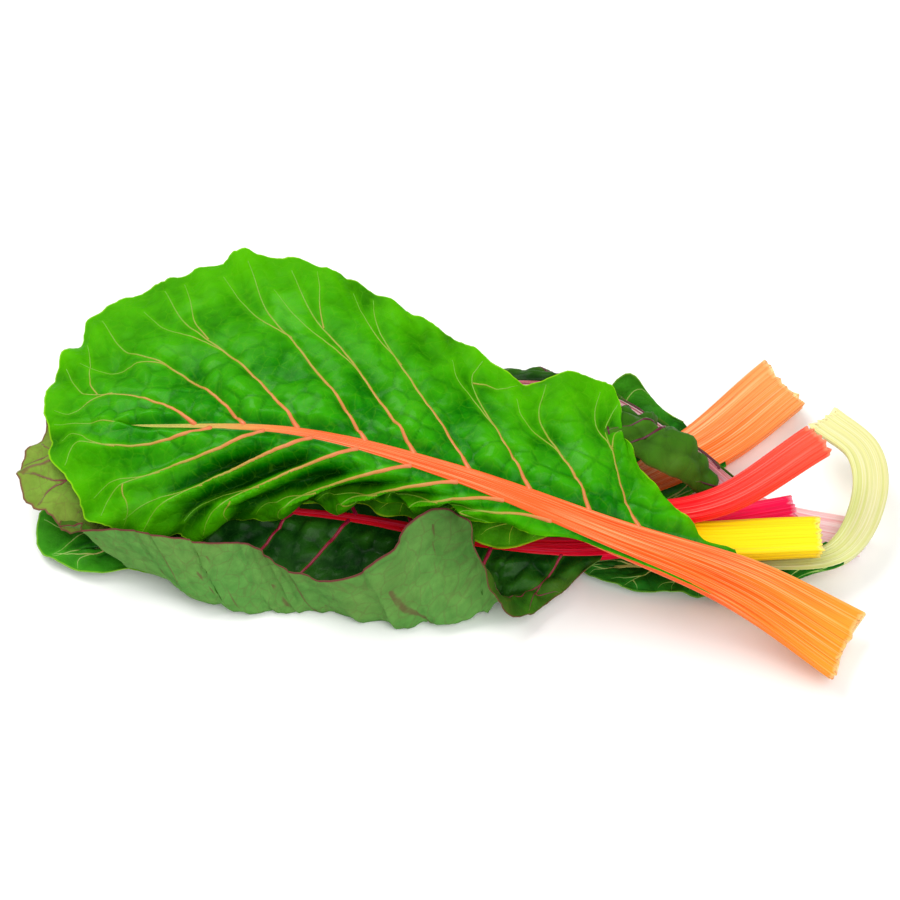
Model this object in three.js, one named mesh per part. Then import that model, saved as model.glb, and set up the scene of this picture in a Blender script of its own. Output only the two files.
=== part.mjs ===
// A bunch of rainbow chard, lying on its side as it would on a kitchen worktop.
// Seven leaves, each with a fleshy stalk that runs on as the midrib of a broad, thin blade.
// Millimetres, +Z up, +X along the bunch towards the cut ends of the stalks.
import * as THREE from 'three';

// ---- driving dimensions -------------------------------------------------------------------
const BLADE_THICKNESS = 1.2;
const SET_BACK = 8.5; // moves the bunch along Y so that its middle stands over the origin
const SEAM_GAP = 1.4; // between a midrib and the blade on either side of it
const VEIN_BEND_DEG = 10; // how far a side vein turns towards the tip on its way to the margin
const RAYS_PER_SIDE = 16; // stations along each half of a blade
const STEPS_ACROSS = 5; // points from the midrib out to the margin
const STATION_CROWDING = 1.15; // above 1 the stations crowd towards the leaf's tip
const LATE_CURL = 1.8; // above 1 a blade keeps its curl for the part near its margin
const STALK_STATIONS = 15;
const STALK_END = 0.965; // share of the midrib's line at which its flesh runs out
const STALK_FACETS = 14;
const INTEGRATION_STEPS = 20;

const UP = new THREE.Vector3(0, 0, 1);
const rad = THREE.MathUtils.degToRad;

// ---- the leaves ---------------------------------------------------------------------------
// rib: the line along the edges of the stalk's flat face, from the cut end to the midrib's end.
// stalk rows: [share of the rib's length, width, depth, swell of the flat face, depth of its channel].
// front and rear rows: [share of the midrib that carries the blade, length of the ray to the margin,
//   its sweep from the rib, its slope at the rib, its slope at the margin], in mm and degrees.
// faceDown: the leaf lies upside down, with the rounded back of its stalk on top.
const LEAVES = [
  {
    name: 'orange',
    colour: 0xf07a3a,
    bladeColour: 0x3fae1c,
    rib: [
      [190, -105, 14], [140, -85, 35], [75, -65, 50], [0, -35, 59], [-75, -10, 60], [-160, 5, 48],
    ],
    stalk: [
      [0, 44, 12, 4, 5], [0.07, 38, 12, 4, 4], [0.14, 32, 12, 4, 3], [0.26, 22, 11, 3, 1.2],
      [0.38, 16, 9, 3, 1], [0.59, 9.5, 6.5, 2, 0.6], [0.77, 5.5, 4, 1.2, 0.2], [1, 1.8, 1.6, 0.6, 0],
    ],
    bladeFrom: 0.16,
    rear: [
      [0, 3, 40, 10, 10], [0.08, 6, 60, 10, 10], [0.15, 36, 68, 8, 4], [0.22, 74, 78, 7, 0],
      [0.27, 78, 72, 7, 0], [0.34, 65, 66, 6, 0], [0.42, 85, 62, 6, 0], [0.5, 115, 56, 6, 0],
      [0.6, 128, 56, 5, 0], [0.7, 127, 58, 4, -2], [0.8, 118, 58, 4, -4], [0.88, 100, 52, 2, -6],
      [0.95, 62, 33, 0, -4], [1, 42, 0, 0, 0],
    ],
    front: [
      [0, 2, 40, -50, -60], [0.15, 3, 60, -60, -80], [0.26, 5, 64, -60, -80], [0.34, 12, 64, -50, -90],
      [0.45, 28, 60, -50, -120], [0.56, 50, 58, -44, -120], [0.7, 76, 56, -30, -76], [0.85, 74, 48, -20, -34],
      [0.95, 52, 30, -12, -20], [1, 42, 0, 0, 0],
    ],
  },
  {
    name: 'peach',
    colour: 0xf9a36c,
    bladeColour: 0x2f8f2a,
    rib: [
      [175, 70, 11], [130, 25, 11], [80, -5, 10], [0, -10, 8], [-100, -20, 6], [-180, -40, 5],
    ],
    stalk: [
      [0, 35, 13, 3, 6], [0.1, 33, 13, 3, 5], [0.2, 28, 12, 3, 3], [0.32, 18, 10, 2, 1],
      [0.5, 10, 7, 1, 0.4], [0.75, 6, 4, 0.8, 0.2], [1, 2, 2, 0.5, 0],
    ],
    bladeFrom: 0.16,
    rear: [
      [0, 4, 80, 30, 40], [0.06, 41, 96, 34, 84], [0.13, 34, 88, 6, 20], [0.22, 54, 84, 6, 24],
      [0.4, 74, 74, 3, 14], [0.6, 84, 66, 2, 12], [0.8, 76, 58, 2, 10], [0.93, 48, 40, 2, 10],
      [1, 20, 0, 0, 6],
    ],
    front: [
      [0, 3, 60, -10, -10], [0.1, 10, 80, -15, -10], [0.3, 22, 74, -14, -6], [0.6, 24, 66, -12, -4],
      [0.8, 26, 56, -7, 0], [0.93, 26, 36, -4, 0], [1, 20, 0, 0, 6],
    ],
  },
  {
    name: 'magenta',
    colour: 0xd0155f,
    bladeColour: 0x3d6b38,
    rib: [
      [170, -30, 26], [120, -35, 18], [70, -45, 15], [10, -40, 14], [-50, -25, 13], [-150, -15, 15],
    ],
    stalk: [
      [0, 17, 9, 2.5, 1], [0.2, 16, 9, 2.5, 1], [0.32, 13, 8, 2, 0.6], [0.45, 10, 6, 1.6, 0.4],
      [0.7, 6, 4, 1, 0.2], [1, 1.8, 1.6, 0.5, 0],
    ],
    bladeFrom: 0.3,
    rear: [
      [0, 3, 50, 10, 16], [0.1, 14, 78, 8, 10], [0.3, 46, 78, 8, 8], [0.5, 60, 70, 7, 6],
      [0.7, 60, 62, 6, 4], [0.88, 44, 50, 4, 2], [0.96, 34, 30, 4, 2], [1, 28, 0, 0, 0],
    ],
    front: [
      [0, 3, 60, -30, -30], [0.07, 19, 84, -30, -20], [0.12, 27, 84, -28, 0], [0.17, 45, 84, -26, 70],
      [0.23, 78, 80, -28, 140], [0.3, 75, 74, -28, 120], [0.37, 70, 70, -26, 85], [0.5, 80, 66, -25, 75],
      [0.6, 95, 66, -24, 110], [0.72, 105, 68, -18, 105], [0.84, 82, 62, -14, 54], [0.95, 48, 36, -10, 4],
      [1, 28, 0, 0, 0],
    ],
  },
  {
    name: 'pale_pink',
    colour: 0xf2c4cc,
    bladeColour: 0x24521f,
    rib: [
      [205, -35, 10], [155, -20, 13], [115, 5, 32], [75, 30, 42], [35, 40, 40], [-60, 40, 30],
      [-130, 35, 24],
    ],
    stalk: [
      [0, 22, 10, 2, 1], [0.1, 19, 9.5, 2, 1], [0.2, 13, 8, 1.6, 0.6], [0.35, 9, 6, 1.2, 0.4],
      [0.6, 7, 4.5, 1, 0.2], [1, 1.8, 1.6, 0.5, 0],
    ],
    bladeFrom: 0.19,
    rear: [
      [0, 2, 60, 0, 0], [0.16, 3, 80, -20, -40], [0.27, 4, 84, -20, -60], [0.4, 22, 80, -16, -70],
      [0.6, 50, 70, -8, -50], [0.8, 58, 58, -6, -24], [0.92, 44, 42, -6, -16], [1, 30, 0, 0, -6],
    ],
    front: [
      [0, 3, 60, 10, -20], [0.06, 24, 84, 50, -70], [0.18, 40, 88, 40, -80], [0.32, 34, 84, -10, -50],
      [0.5, 36, 74, -6, -20], [0.7, 36, 64, -6, -10], [0.88, 34, 48, -4, -6], [1, 30, 0, 0, -6],
    ],
  },
  {
    name: 'yellow',
    colour: 0xf5dc10,
    bladeColour: 0x4fae2a,
    rib: [
      [180, -50, 30], [110, -50, 29], [60, -35, 33], [0, -20, 39], [-70, -5, 38], [-140, 0, 29],
    ],
    stalk: [
      [0, 22, 12, 3, 0.6], [0.12, 22, 12, 3, 0.6], [0.25, 17, 9.5, 2.4, 0.6], [0.4, 12, 7, 2, 0.5],
      [0.65, 7, 5, 1.2, 0.3], [1, 1.8, 1.6, 0.5, 0],
    ],
    bladeFrom: 0.3,
    rear: [
      [0, 3, 60, 8, 10], [0.12, 22, 80, 8, 12], [0.3, 46, 78, 8, 12], [0.5, 60, 72, 6, 6],
      [0.7, 64, 62, 5, 0], [0.88, 50, 50, 3, -4], [1, 28, 0, 0, 0],
    ],
    front: [
      [0, 3, 60, -20, -20], [0.1, 12, 84, -14, -20], [0.21, 38, 88, -12, -40], [0.32, 24, 78, -24, -70],
      [0.45, 24, 72, -40, -80], [0.6, 26, 64, -44, -80], [0.75, 28, 58, -40, -60], [0.88, 28, 46, -26, -20],
      [1, 28, 0, 0, 0],
    ],
  },
  {
    name: 'red',
    colour: 0xf2303a,
    bladeColour: 0x5f8f4a,
    faceDown: true,
    rib: [
      [180, -10, 52], [130, -35, 35], [90, -40, 34], [0, -20, 45], [-75, 0, 48], [-140, 5, 42],
      [-193, -5, 32],
    ],
    stalk: [
      [0, 20, 9, 3, 1], [0.12, 17, 8, 3, 1], [0.25, 13, 6.5, 2, 0.6], [0.45, 8, 4.5, 1, 0.4],
      [0.7, 5, 3, 0.6, 0.2], [1, 1.8, 1.4, 0.4, 0],
    ],
    bladeFrom: 0.3,
    rear: [
      [0, 3, 60, 4, 4], [0.12, 20, 80, 5, 6], [0.3, 50, 78, 5, 6], [0.5, 66, 70, 4, 4],
      [0.7, 66, 62, 3, 0], [0.88, 44, 50, 0, 0], [1, 24, 0, -10, -10],
    ],
    front: [
      [0, 3, 60, -10, -10], [0.12, 8, 80, -10, -40], [0.3, 18, 74, -20, -50], [0.5, 26, 66, -24, -60],
      [0.66, 38, 60, -22, -60], [0.78, 52, 60, -20, -50], [0.9, 46, 50, -18, -40], [1, 24, 0, -10, -10],
    ],
  },
  {
    name: 'cream',
    colour: 0xeef0c0,
    bladeColour: 0x1f6b25,
    rib: [
      [190, 30, 27], [208, 10, 25], [208, -20, 23], [190, -50, 17], [150, -50, 8], [80, -50, 5],
    ],
    stalk: [
      [0, 20, 7, 2, 2], [0.2, 18, 7, 2, 2], [0.4, 16, 7, 2, 1.6], [0.6, 11, 6, 1.6, 0.8],
      [0.8, 6, 3.5, 1, 0.3], [1, 1.8, 1.6, 0.5, 0],
    ],
    bladeFrom: 0.46,
    rear: [
      [0, 3, 60, 10, 10], [0.1, 5, 70, 0, -20], [0.3, 12, 74, -10, -20], [0.6, 16, 66, -6, -4],
      [0.85, 18, 50, -4, 0], [1, 20, 0, -2, 0],
    ],
    front: [
      [0, 3, 60, -10, -20], [0.12, 6, 70, -30, -50], [0.35, 16, 74, -24, -10], [0.6, 19, 66, -14, 0],
      [0.85, 19, 50, -8, 0], [1, 20, 0, -2, 0],
    ],
  },
];

// ---- helpers ------------------------------------------------------------------------------
// Rows of [share, values...], joined by a smooth curve through each value.
function along(rows, share) {
  let i = 0;
  while (i < rows.length - 2 && share > rows[i + 1][0]) i += 1;
  const [a, b] = [rows[i], rows[i + 1]];
  const before = rows[i - 1] ?? a;
  const after = rows[i + 2] ?? b;
  const span = b[0] - a[0];
  const t = THREE.MathUtils.clamp((share - a[0]) / span, 0, 1);
  const slope = (from, to, k) => (to[0] === from[0] ? 0 : ((to[k] - from[k]) / (to[0] - from[0])) * span);
  return a.slice(1).map((value, index) => {
    const k = index + 1;
    const m0 = before === a ? slope(a, b, k) : slope(before, b, k);
    const m1 = after === b ? slope(a, b, k) : slope(a, after, k);
    return (
      (2 * t ** 3 - 3 * t ** 2 + 1) * value +
      (t ** 3 - 2 * t ** 2 + t) * m0 +
      (-2 * t ** 3 + 3 * t ** 2) * b[k] +
      (t ** 3 - t ** 2) * m1
    );
  });
}

// The midrib's line: a point on it, with the directions along it, to its front side and up from it.
function ribOf(leaf) {
  const curve = new THREE.CatmullRomCurve3(
    leaf.rib.map((p) => new THREE.Vector3(...p)),
    false,
    'centripetal',
  );
  curve.arcLengthDivisions = 400;
  return (share) => {
    const tangent = curve.getTangentAt(share);
    const side = new THREE.Vector3().crossVectors(UP, tangent).normalize();
    const up = new THREE.Vector3().crossVectors(tangent, side);
    return { point: curve.getPointAt(share), tangent, side, up };
  };
}

// A closed solid from a grid of points on one surface and the matching grid under it.
function slab(top, bottom) {
  const rows = top.length;
  const columns = top[0].length;
  const points = [...top.flat(), ...bottom.flat()];
  const at = (layer, i, j) => layer * rows * columns + i * columns + j;
  const faces = [];
  const quad = (a, b, c, d) => faces.push(a, b, c, a, c, d);
  for (let i = 0; i < rows - 1; i += 1) {
    for (let j = 0; j < columns - 1; j += 1) {
      quad(at(0, i, j), at(0, i, j + 1), at(0, i + 1, j + 1), at(0, i + 1, j));
      quad(at(1, i, j), at(1, i + 1, j), at(1, i + 1, j + 1), at(1, i, j + 1));
    }
  }
  const rim = [];
  for (let i = 0; i < rows - 1; i += 1) rim.push([i, 0]);
  for (let j = 0; j < columns - 1; j += 1) rim.push([rows - 1, j]);
  for (let i = rows - 1; i > 0; i -= 1) rim.push([i, columns - 1]);
  for (let j = columns - 1; j > 0; j -= 1) rim.push([0, j]);
  rim.forEach(([i, j], k) => {
    const [i2, j2] = rim[(k + 1) % rim.length];
    quad(at(0, i, j), at(0, i2, j2), at(1, i2, j2), at(1, i, j));
  });
  return solidFrom(points, faces);
}

function solidFrom(points, faces) {
  const geometry = new THREE.BufferGeometry().setFromPoints(points);
  geometry.setIndex(faces);
  geometry.computeVertexNormals();
  return geometry;
}

// ---- a stalk: a channelled bar that tapers into the midrib -----------------------------------
function stalkGeometry(leaf) {
  const rib = ribOf(leaf);
  const points = [];
  const faces = [];
  for (let i = 0; i < STALK_STATIONS; i += 1) {
    const share = (STALK_END * i) / (STALK_STATIONS - 1);
    const { point, side, up } = rib(share);
    if (leaf.faceDown) {
      side.negate();
      up.negate();
    }
    const [width, depth, shoulder, channel] = along(leaf.stalk, share);
    for (let k = 0; k < STALK_FACETS; k += 1) {
      const turn = (2 * Math.PI * (k + 0.5)) / STALK_FACETS;
      const bow = Math.abs(Math.sin(turn));
      const height = Math.sin(turn) > 0 ? shoulder * bow - channel * bow ** 2 : -depth * bow;
      const spot = point.clone().addScaledVector(side, (width / 2) * Math.cos(turn));
      spot.addScaledVector(up, height);
      spot.z = Math.max(spot.z, 0); // a stalk that lies on the worktop is flat where it touches it
      points.push(spot);
    }
  }
  const ring = (i, k) => i * STALK_FACETS + (k % STALK_FACETS);
  for (let i = 0; i < STALK_STATIONS - 1; i += 1) {
    for (let k = 0; k < STALK_FACETS; k += 1) {
      faces.push(ring(i, k), ring(i, k + 1), ring(i + 1, k + 1));
      faces.push(ring(i, k), ring(i + 1, k + 1), ring(i + 1, k));
    }
  }
  for (const [i, flip] of [[0, true], [STALK_STATIONS - 1, false]]) {
    const centre = points.length;
    const middle = new THREE.Vector3();
    for (let k = 0; k < STALK_FACETS; k += 1) middle.addScaledVector(points[ring(i, k)], 1 / STALK_FACETS);
    points.push(middle);
    for (let k = 0; k < STALK_FACETS; k += 1) {
      if (flip) faces.push(centre, ring(i, k + 1), ring(i, k));
      else faces.push(centre, ring(i, k), ring(i, k + 1));
    }
  }
  return solidFrom(points, faces);
}

// ---- a blade: rays fan out from both sides of the midrib and meet round its tip ---------------
function rayPoints(leaf, rib, sideSign, share) {
  const rows = sideSign > 0 ? leaf.front : leaf.rear;
  const [length, sweep, slopeIn, slopeOut] = along(rows, share);
  const ribShare = leaf.bladeFrom + (1 - leaf.bladeFrom) * share;
  const { point, tangent, side, up } = rib(ribShare);
  const outward = side.clone().multiplyScalar(sideSign);
  const halfWidth = along(leaf.stalk, ribShare)[0] / 2 + SEAM_GAP;
  const ahead = Math.cos(rad(sweep)) ** 4;
  const place = point
    .clone()
    .addScaledVector(outward, halfWidth * Math.sqrt(1 - ahead ** 2))
    .addScaledVector(tangent, halfWidth * ahead);
  const out = [place.clone()];
  const bend = Math.min(VEIN_BEND_DEG, sweep);
  for (let step = 1; step <= INTEGRATION_STEPS; step += 1) {
    const t = (step - 0.5) / INTEGRATION_STEPS;
    const lean = rad(sweep - bend * t);
    const slope = rad(slopeIn + (slopeOut - slopeIn) * t ** LATE_CURL);
    place
      .addScaledVector(tangent, (Math.cos(lean) * length) / INTEGRATION_STEPS)
      .addScaledVector(outward, (Math.sin(lean) * Math.cos(slope) * length) / INTEGRATION_STEPS)
      .addScaledVector(up, (Math.sin(lean) * Math.sin(slope) * length) / INTEGRATION_STEPS);
    if (step % (INTEGRATION_STEPS / (STEPS_ACROSS - 1)) === 0) out.push(place.clone());
  }
  return out;
}

function bladeGeometry(leaf) {
  const rib = ribOf(leaf);
  const middle = [];
  const station = (i) => 1 - (1 - i / (RAYS_PER_SIDE - 1)) ** STATION_CROWDING;
  for (let i = 0; i < RAYS_PER_SIDE; i += 1) middle.push(rayPoints(leaf, rib, 1, station(i)));
  for (let i = RAYS_PER_SIDE - 2; i >= 0; i -= 1) middle.push(rayPoints(leaf, rib, -1, station(i)));
  const last = middle.length - 1;
  const normal = (i, j) => {
    const alongMargin = middle[Math.min(i + 1, last)][j].clone().sub(middle[Math.max(i - 1, 0)][j]);
    const across = middle[i][Math.min(j + 1, STEPS_ACROSS - 1)].clone().sub(middle[i][Math.max(j - 1, 0)]);
    return across.cross(alongMargin).normalize();
  };
  const offset = (amount) =>
    middle.map((row, i) => row.map((p, j) => p.clone().addScaledVector(normal(i, j), amount)));
  return slab(offset(BLADE_THICKNESS / 2), offset(-BLADE_THICKNESS / 2));
}

// ---- the bunch ----------------------------------------------------------------------------
const bunch = new THREE.Group();
bunch.position.y = SET_BACK;
for (const leaf of LEAVES) {
  const stalk = new THREE.Mesh(
    stalkGeometry(leaf),
    new THREE.MeshStandardMaterial({ color: leaf.colour, roughness: 0.4, metalness: 0 }),
  );
  stalk.name = `${leaf.name}_stalk`;
  const blade = new THREE.Mesh(
    bladeGeometry(leaf),
    new THREE.MeshStandardMaterial({ color: leaf.bladeColour, roughness: 0.45, metalness: 0 }),
  );
  blade.name = `${leaf.name}_blade`;
  bunch.add(stalk, blade);
}

export default bunch;
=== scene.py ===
# %% [markdown]
# # A bunch of rainbow chard
#
# Seven leaves lie in a loose pile on a worktop, with their cut stalks towards the right. The
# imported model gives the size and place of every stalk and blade; this lesson grows the real leaf
# surfaces over it: puffed and pleated blades, branching veins, ribbed stalks with cut ends, and a
# finish for each of them. Lengths in the recipes are in millimetres and become metres when a mesh
# is made.

import math
from types import SimpleNamespace

import bpy
import numpy as np
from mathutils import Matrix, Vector


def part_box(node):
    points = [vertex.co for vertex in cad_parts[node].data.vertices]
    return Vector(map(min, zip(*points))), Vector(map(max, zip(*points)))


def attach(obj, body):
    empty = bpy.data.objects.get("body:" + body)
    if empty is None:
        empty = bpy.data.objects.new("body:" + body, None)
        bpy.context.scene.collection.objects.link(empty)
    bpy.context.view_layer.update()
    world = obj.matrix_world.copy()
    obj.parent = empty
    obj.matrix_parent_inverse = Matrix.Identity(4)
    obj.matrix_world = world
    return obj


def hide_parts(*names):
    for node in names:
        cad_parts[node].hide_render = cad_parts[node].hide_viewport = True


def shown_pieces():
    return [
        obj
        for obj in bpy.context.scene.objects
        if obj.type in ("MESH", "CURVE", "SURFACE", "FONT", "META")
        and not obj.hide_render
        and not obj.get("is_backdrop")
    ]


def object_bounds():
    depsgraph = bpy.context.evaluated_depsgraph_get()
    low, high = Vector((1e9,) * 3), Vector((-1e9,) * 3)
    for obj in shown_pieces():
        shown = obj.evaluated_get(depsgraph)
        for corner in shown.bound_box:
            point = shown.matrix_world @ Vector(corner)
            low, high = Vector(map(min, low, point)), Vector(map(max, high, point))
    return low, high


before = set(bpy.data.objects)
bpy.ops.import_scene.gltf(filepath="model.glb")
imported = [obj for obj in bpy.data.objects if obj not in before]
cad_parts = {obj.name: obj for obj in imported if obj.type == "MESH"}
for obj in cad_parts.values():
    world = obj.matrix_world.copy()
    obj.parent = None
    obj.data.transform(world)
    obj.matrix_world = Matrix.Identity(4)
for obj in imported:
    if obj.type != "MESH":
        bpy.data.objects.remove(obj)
CAD_BOX = [list(corner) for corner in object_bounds()]
MM = 0.001
print("model box in mm:", [[round(v / MM, 1) for v in corner] for corner in CAD_BOX])

# %% [markdown]
# ## The camera, the floor and the light
#
# The bunch is seen from the front and well above, through a long lens, so that the far leaves
# look hardly smaller than the near ones. The floor is a plain pale sheet. A white sky lights
# everything softly, a broad lamp at the back left gives the glossy leaves their sheen and shapes
# the pillows between the veins, and a broader one in front fills their shadows.

# %% Camera
CAMERA_ELEVATION = math.radians(48)
CAMERA_DISTANCE = 1.2925
LENS_MM = 100
LOOK_AT = Vector((0, 0.0405, 0))

camera = bpy.data.objects.new("camera", bpy.data.cameras.new("camera"))
bpy.context.collection.objects.link(camera)
camera.data.lens = LENS_MM
towards_camera = Vector((0, -math.cos(CAMERA_ELEVATION), math.sin(CAMERA_ELEVATION)))
camera.location = LOOK_AT + towards_camera * CAMERA_DISTANCE
camera.rotation_euler = (math.pi / 2 - CAMERA_ELEVATION, 0, 0)
bpy.context.scene.camera = camera
print("camera at", [round(v, 3) for v in camera.location])

# %% Lamps and sky
SKY_STRENGTH = 0.48
LAMPS = [  # name, place, width in metres, watts, colour
    ("back_left_softbox", (-0.7, 0.6, 1.3), 1.2, 21, (1.0, 0.99, 0.96)),
    ("front_fill", (0.6, -1.1, 1.3), 1.8, 25, (1.0, 1.0, 1.0)),
]

scene = bpy.context.scene
scene.view_settings.view_transform = "Standard"
sky = bpy.data.worlds.new("sky")
scene.world = sky
sky.use_nodes = True
sky.node_tree.nodes["Background"].inputs["Color"].default_value = (1, 1, 1, 1)
sky.node_tree.nodes["Background"].inputs["Strength"].default_value = SKY_STRENGTH
for name, place, width, watts, colour in LAMPS:
    lamp = bpy.data.objects.new(name, bpy.data.lights.new(name, "AREA"))
    lamp.data.size = width
    lamp.data.energy = watts
    lamp.data.color = colour
    lamp.location = place
    lamp.rotation_euler = (LOOK_AT - lamp.location).to_track_quat("-Z", "Y").to_euler()
    bpy.context.collection.objects.link(lamp)
print(len(LAMPS), "lamps and a white sky")

# %% [markdown]
# ## A short way to write materials
#
# A material is a small sum over the surface: painted shade in the valleys, paler at the margin, a
# streak here and a freckle there. Drawn as boxes and wires that gets long, so a `Value` wraps the
# output of a node, and Python's own operators add the Math nodes. Colours are mixed with Mix nodes,
# because a Math node would turn them grey.


# %% Values that can be added and multiplied
class Value:
    """The output of a node, used like a number in a Python expression."""

    def __init__(self, kit, socket):
        self.kit = kit
        self.socket = socket

    def maths(self, operation, *others, clamp=False):
        settings = {"operation": operation, "use_clamp": clamp}
        numbers = dict(enumerate([self, *others]))
        return self.kit.add("ShaderNodeMath", settings, numbers)

    def __add__(self, other):
        return self.maths("ADD", other)

    __radd__ = __add__

    def __mul__(self, other):
        return self.maths("MULTIPLY", other)

    __rmul__ = __mul__

    def __sub__(self, other):
        return self.maths("SUBTRACT", other)

    def __rsub__(self, other):
        return self * -1 + other

    def __truediv__(self, other):
        return self.maths("DIVIDE", other)

    def __pow__(self, power):
        return self.maths("POWER", power)

    def clipped(self):
        return self.maths("ADD", 0.0, clamp=True)

    def step(self, low, high):
        """0 below low and 1 above high, with a soft change between; low may be the larger."""
        values = {"Value": self, "From Min": low, "From Max": high}
        return self.kit.add("ShaderNodeMapRange", {"interpolation_type": "SMOOTHSTEP"}, values)


# %% One way to add a node
class Finish:
    """A material under construction."""

    def __init__(self, name):
        self.material = bpy.data.materials.new(name)
        self.material.use_nodes = True
        self.tree = self.material.node_tree
        self.shader = self.tree.nodes["Principled BSDF"]

    def feed(self, socket, value):
        if isinstance(value, Value):
            self.tree.links.new(value.socket, socket)
        elif hasattr(value, "__len__") and len(value) == 3 and socket.type == "RGBA":
            socket.default_value = (*value, 1)
        else:
            socket.default_value = value

    def add(self, kind, settings=None, values=None, output=0):
        node = self.tree.nodes.new(kind)
        for key, setting in (settings or {}).items():
            setattr(node, key, setting)
        for key, value in (values or {}).items():
            self.feed(node.inputs[key], value)
        return Value(self, node.outputs[output])

    def read(self, name, vector=False):
        """A value that the mesh carries at each of its points."""
        return self.add("ShaderNodeAttribute", {"attribute_name": name}, output=1 if vector else 2)

    def mix(self, first, second, amount):
        """The first colour turning into the second."""
        return self.add(
            "ShaderNodeMix", {"data_type": "RGBA"}, {0: amount, 6: first, 7: second}, output=2
        )

    def layered(self, colour, *layers):
        """Colours laid over the first one, each with its amount."""
        for over, amount in layers:
            colour = self.mix(colour, over, amount)
        return colour

    def scaled(self, place, by):
        """A place with its axes stretched, to draw a pattern out along one of them."""
        return self.add("ShaderNodeVectorMath", {"operation": "MULTIPLY"}, {0: place, 1: by})

    def noise(self, place, scale, detail=3.0, roughness=0.55, output=0):
        values = {"Vector": place, "Scale": scale, "Detail": detail, "Roughness": roughness}
        return self.add("ShaderNodeTexNoise", None, values, output)

    def cells(self, place, scale, feature="DISTANCE_TO_EDGE"):
        values = {"Vector": place, "Scale": scale}
        return self.add("ShaderNodeTexVoronoi", {"feature": feature}, values)

    def relief(self, height_mm, strength=1.0):
        """A bump from a height in millimetres."""
        values = {"Height": height_mm * MM, "Distance": 1.0, "Strength": strength}
        return self.add("ShaderNodeBump", None, values)

    def done(self, **values):
        for key, value in values.items():
            self.feed(self.shader.inputs[key.replace("_", " ")], value)
        return self.material


def paint(red, green, blue):
    """A colour as a paint chart gives it, 0 to 255, turned into the light that Blender works in."""
    shares = [value / 255 for value in (red, green, blue)]
    return tuple(s / 12.92 if s < 0.04045 else ((s + 0.055) / 1.055) ** 2.4 for s in shares)


def look_of(parts, numbers):
    """The parts' colours by name; what isn't a colour stays as it is."""
    values = (paint(*value) if np.size(value) == 3 else value for value in numbers)
    return SimpleNamespace(**dict(zip(parts, values)))


print("paint chart check, mid grey:", round(paint(128, 128, 128)[0], 3))

# %% Floor
FLOOR_SIZE = 6.0
FLOOR_GAP = 0.0004

floor_mesh = bpy.data.meshes.new("floor")
half = FLOOR_SIZE / 2
floor_mesh.from_pydata(
    [(-half, -half, 0), (half, -half, 0), (half, half, 0), (-half, half, 0)], [], [(0, 1, 2, 3)]
)
floor = bpy.data.objects.new("floor", floor_mesh)
floor.location.z = CAD_BOX[0][2] - FLOOR_GAP
bpy.context.collection.objects.link(floor)
pale = Finish("pale_worktop")
cloudy = pale.noise(pale.add("ShaderNodeTexCoord", output=3), 2.0, detail=1.0)
floor_mesh.materials.append(
    pale.done(
        Base_Color=pale.mix(paint(250, 250, 250), paint(253, 253, 252), cloudy), Roughness=0.9
    )
)
floor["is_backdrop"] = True
print("floor", FLOOR_SIZE, "m wide")

# %% [markdown]
# ## The plan of a leaf
#
# A chard leaf is one fleshy stalk that runs on as a midrib, with a thin blade on both sides of
# it. The same few rows that size the model's solids are repeated here, because the fine surfaces
# grow from the same curves:
#
# - `rib`: points along the edge of the stalk's flat face, from the cut end to the tip;
# - `stalk`: share of that line, width, depth of the rounded back, swell of the flat face, channel;
# - `blade_from`: share of the line at which the blade starts;
# - `rear`, `front`: share of the midrib that carries the blade, length of the ray that runs from
#   there to the margin, its sweep from the rib, and its slope at the rib and at the margin, in
#   degrees;
# - `face_down`: the leaf lies with its upper side down.

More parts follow.
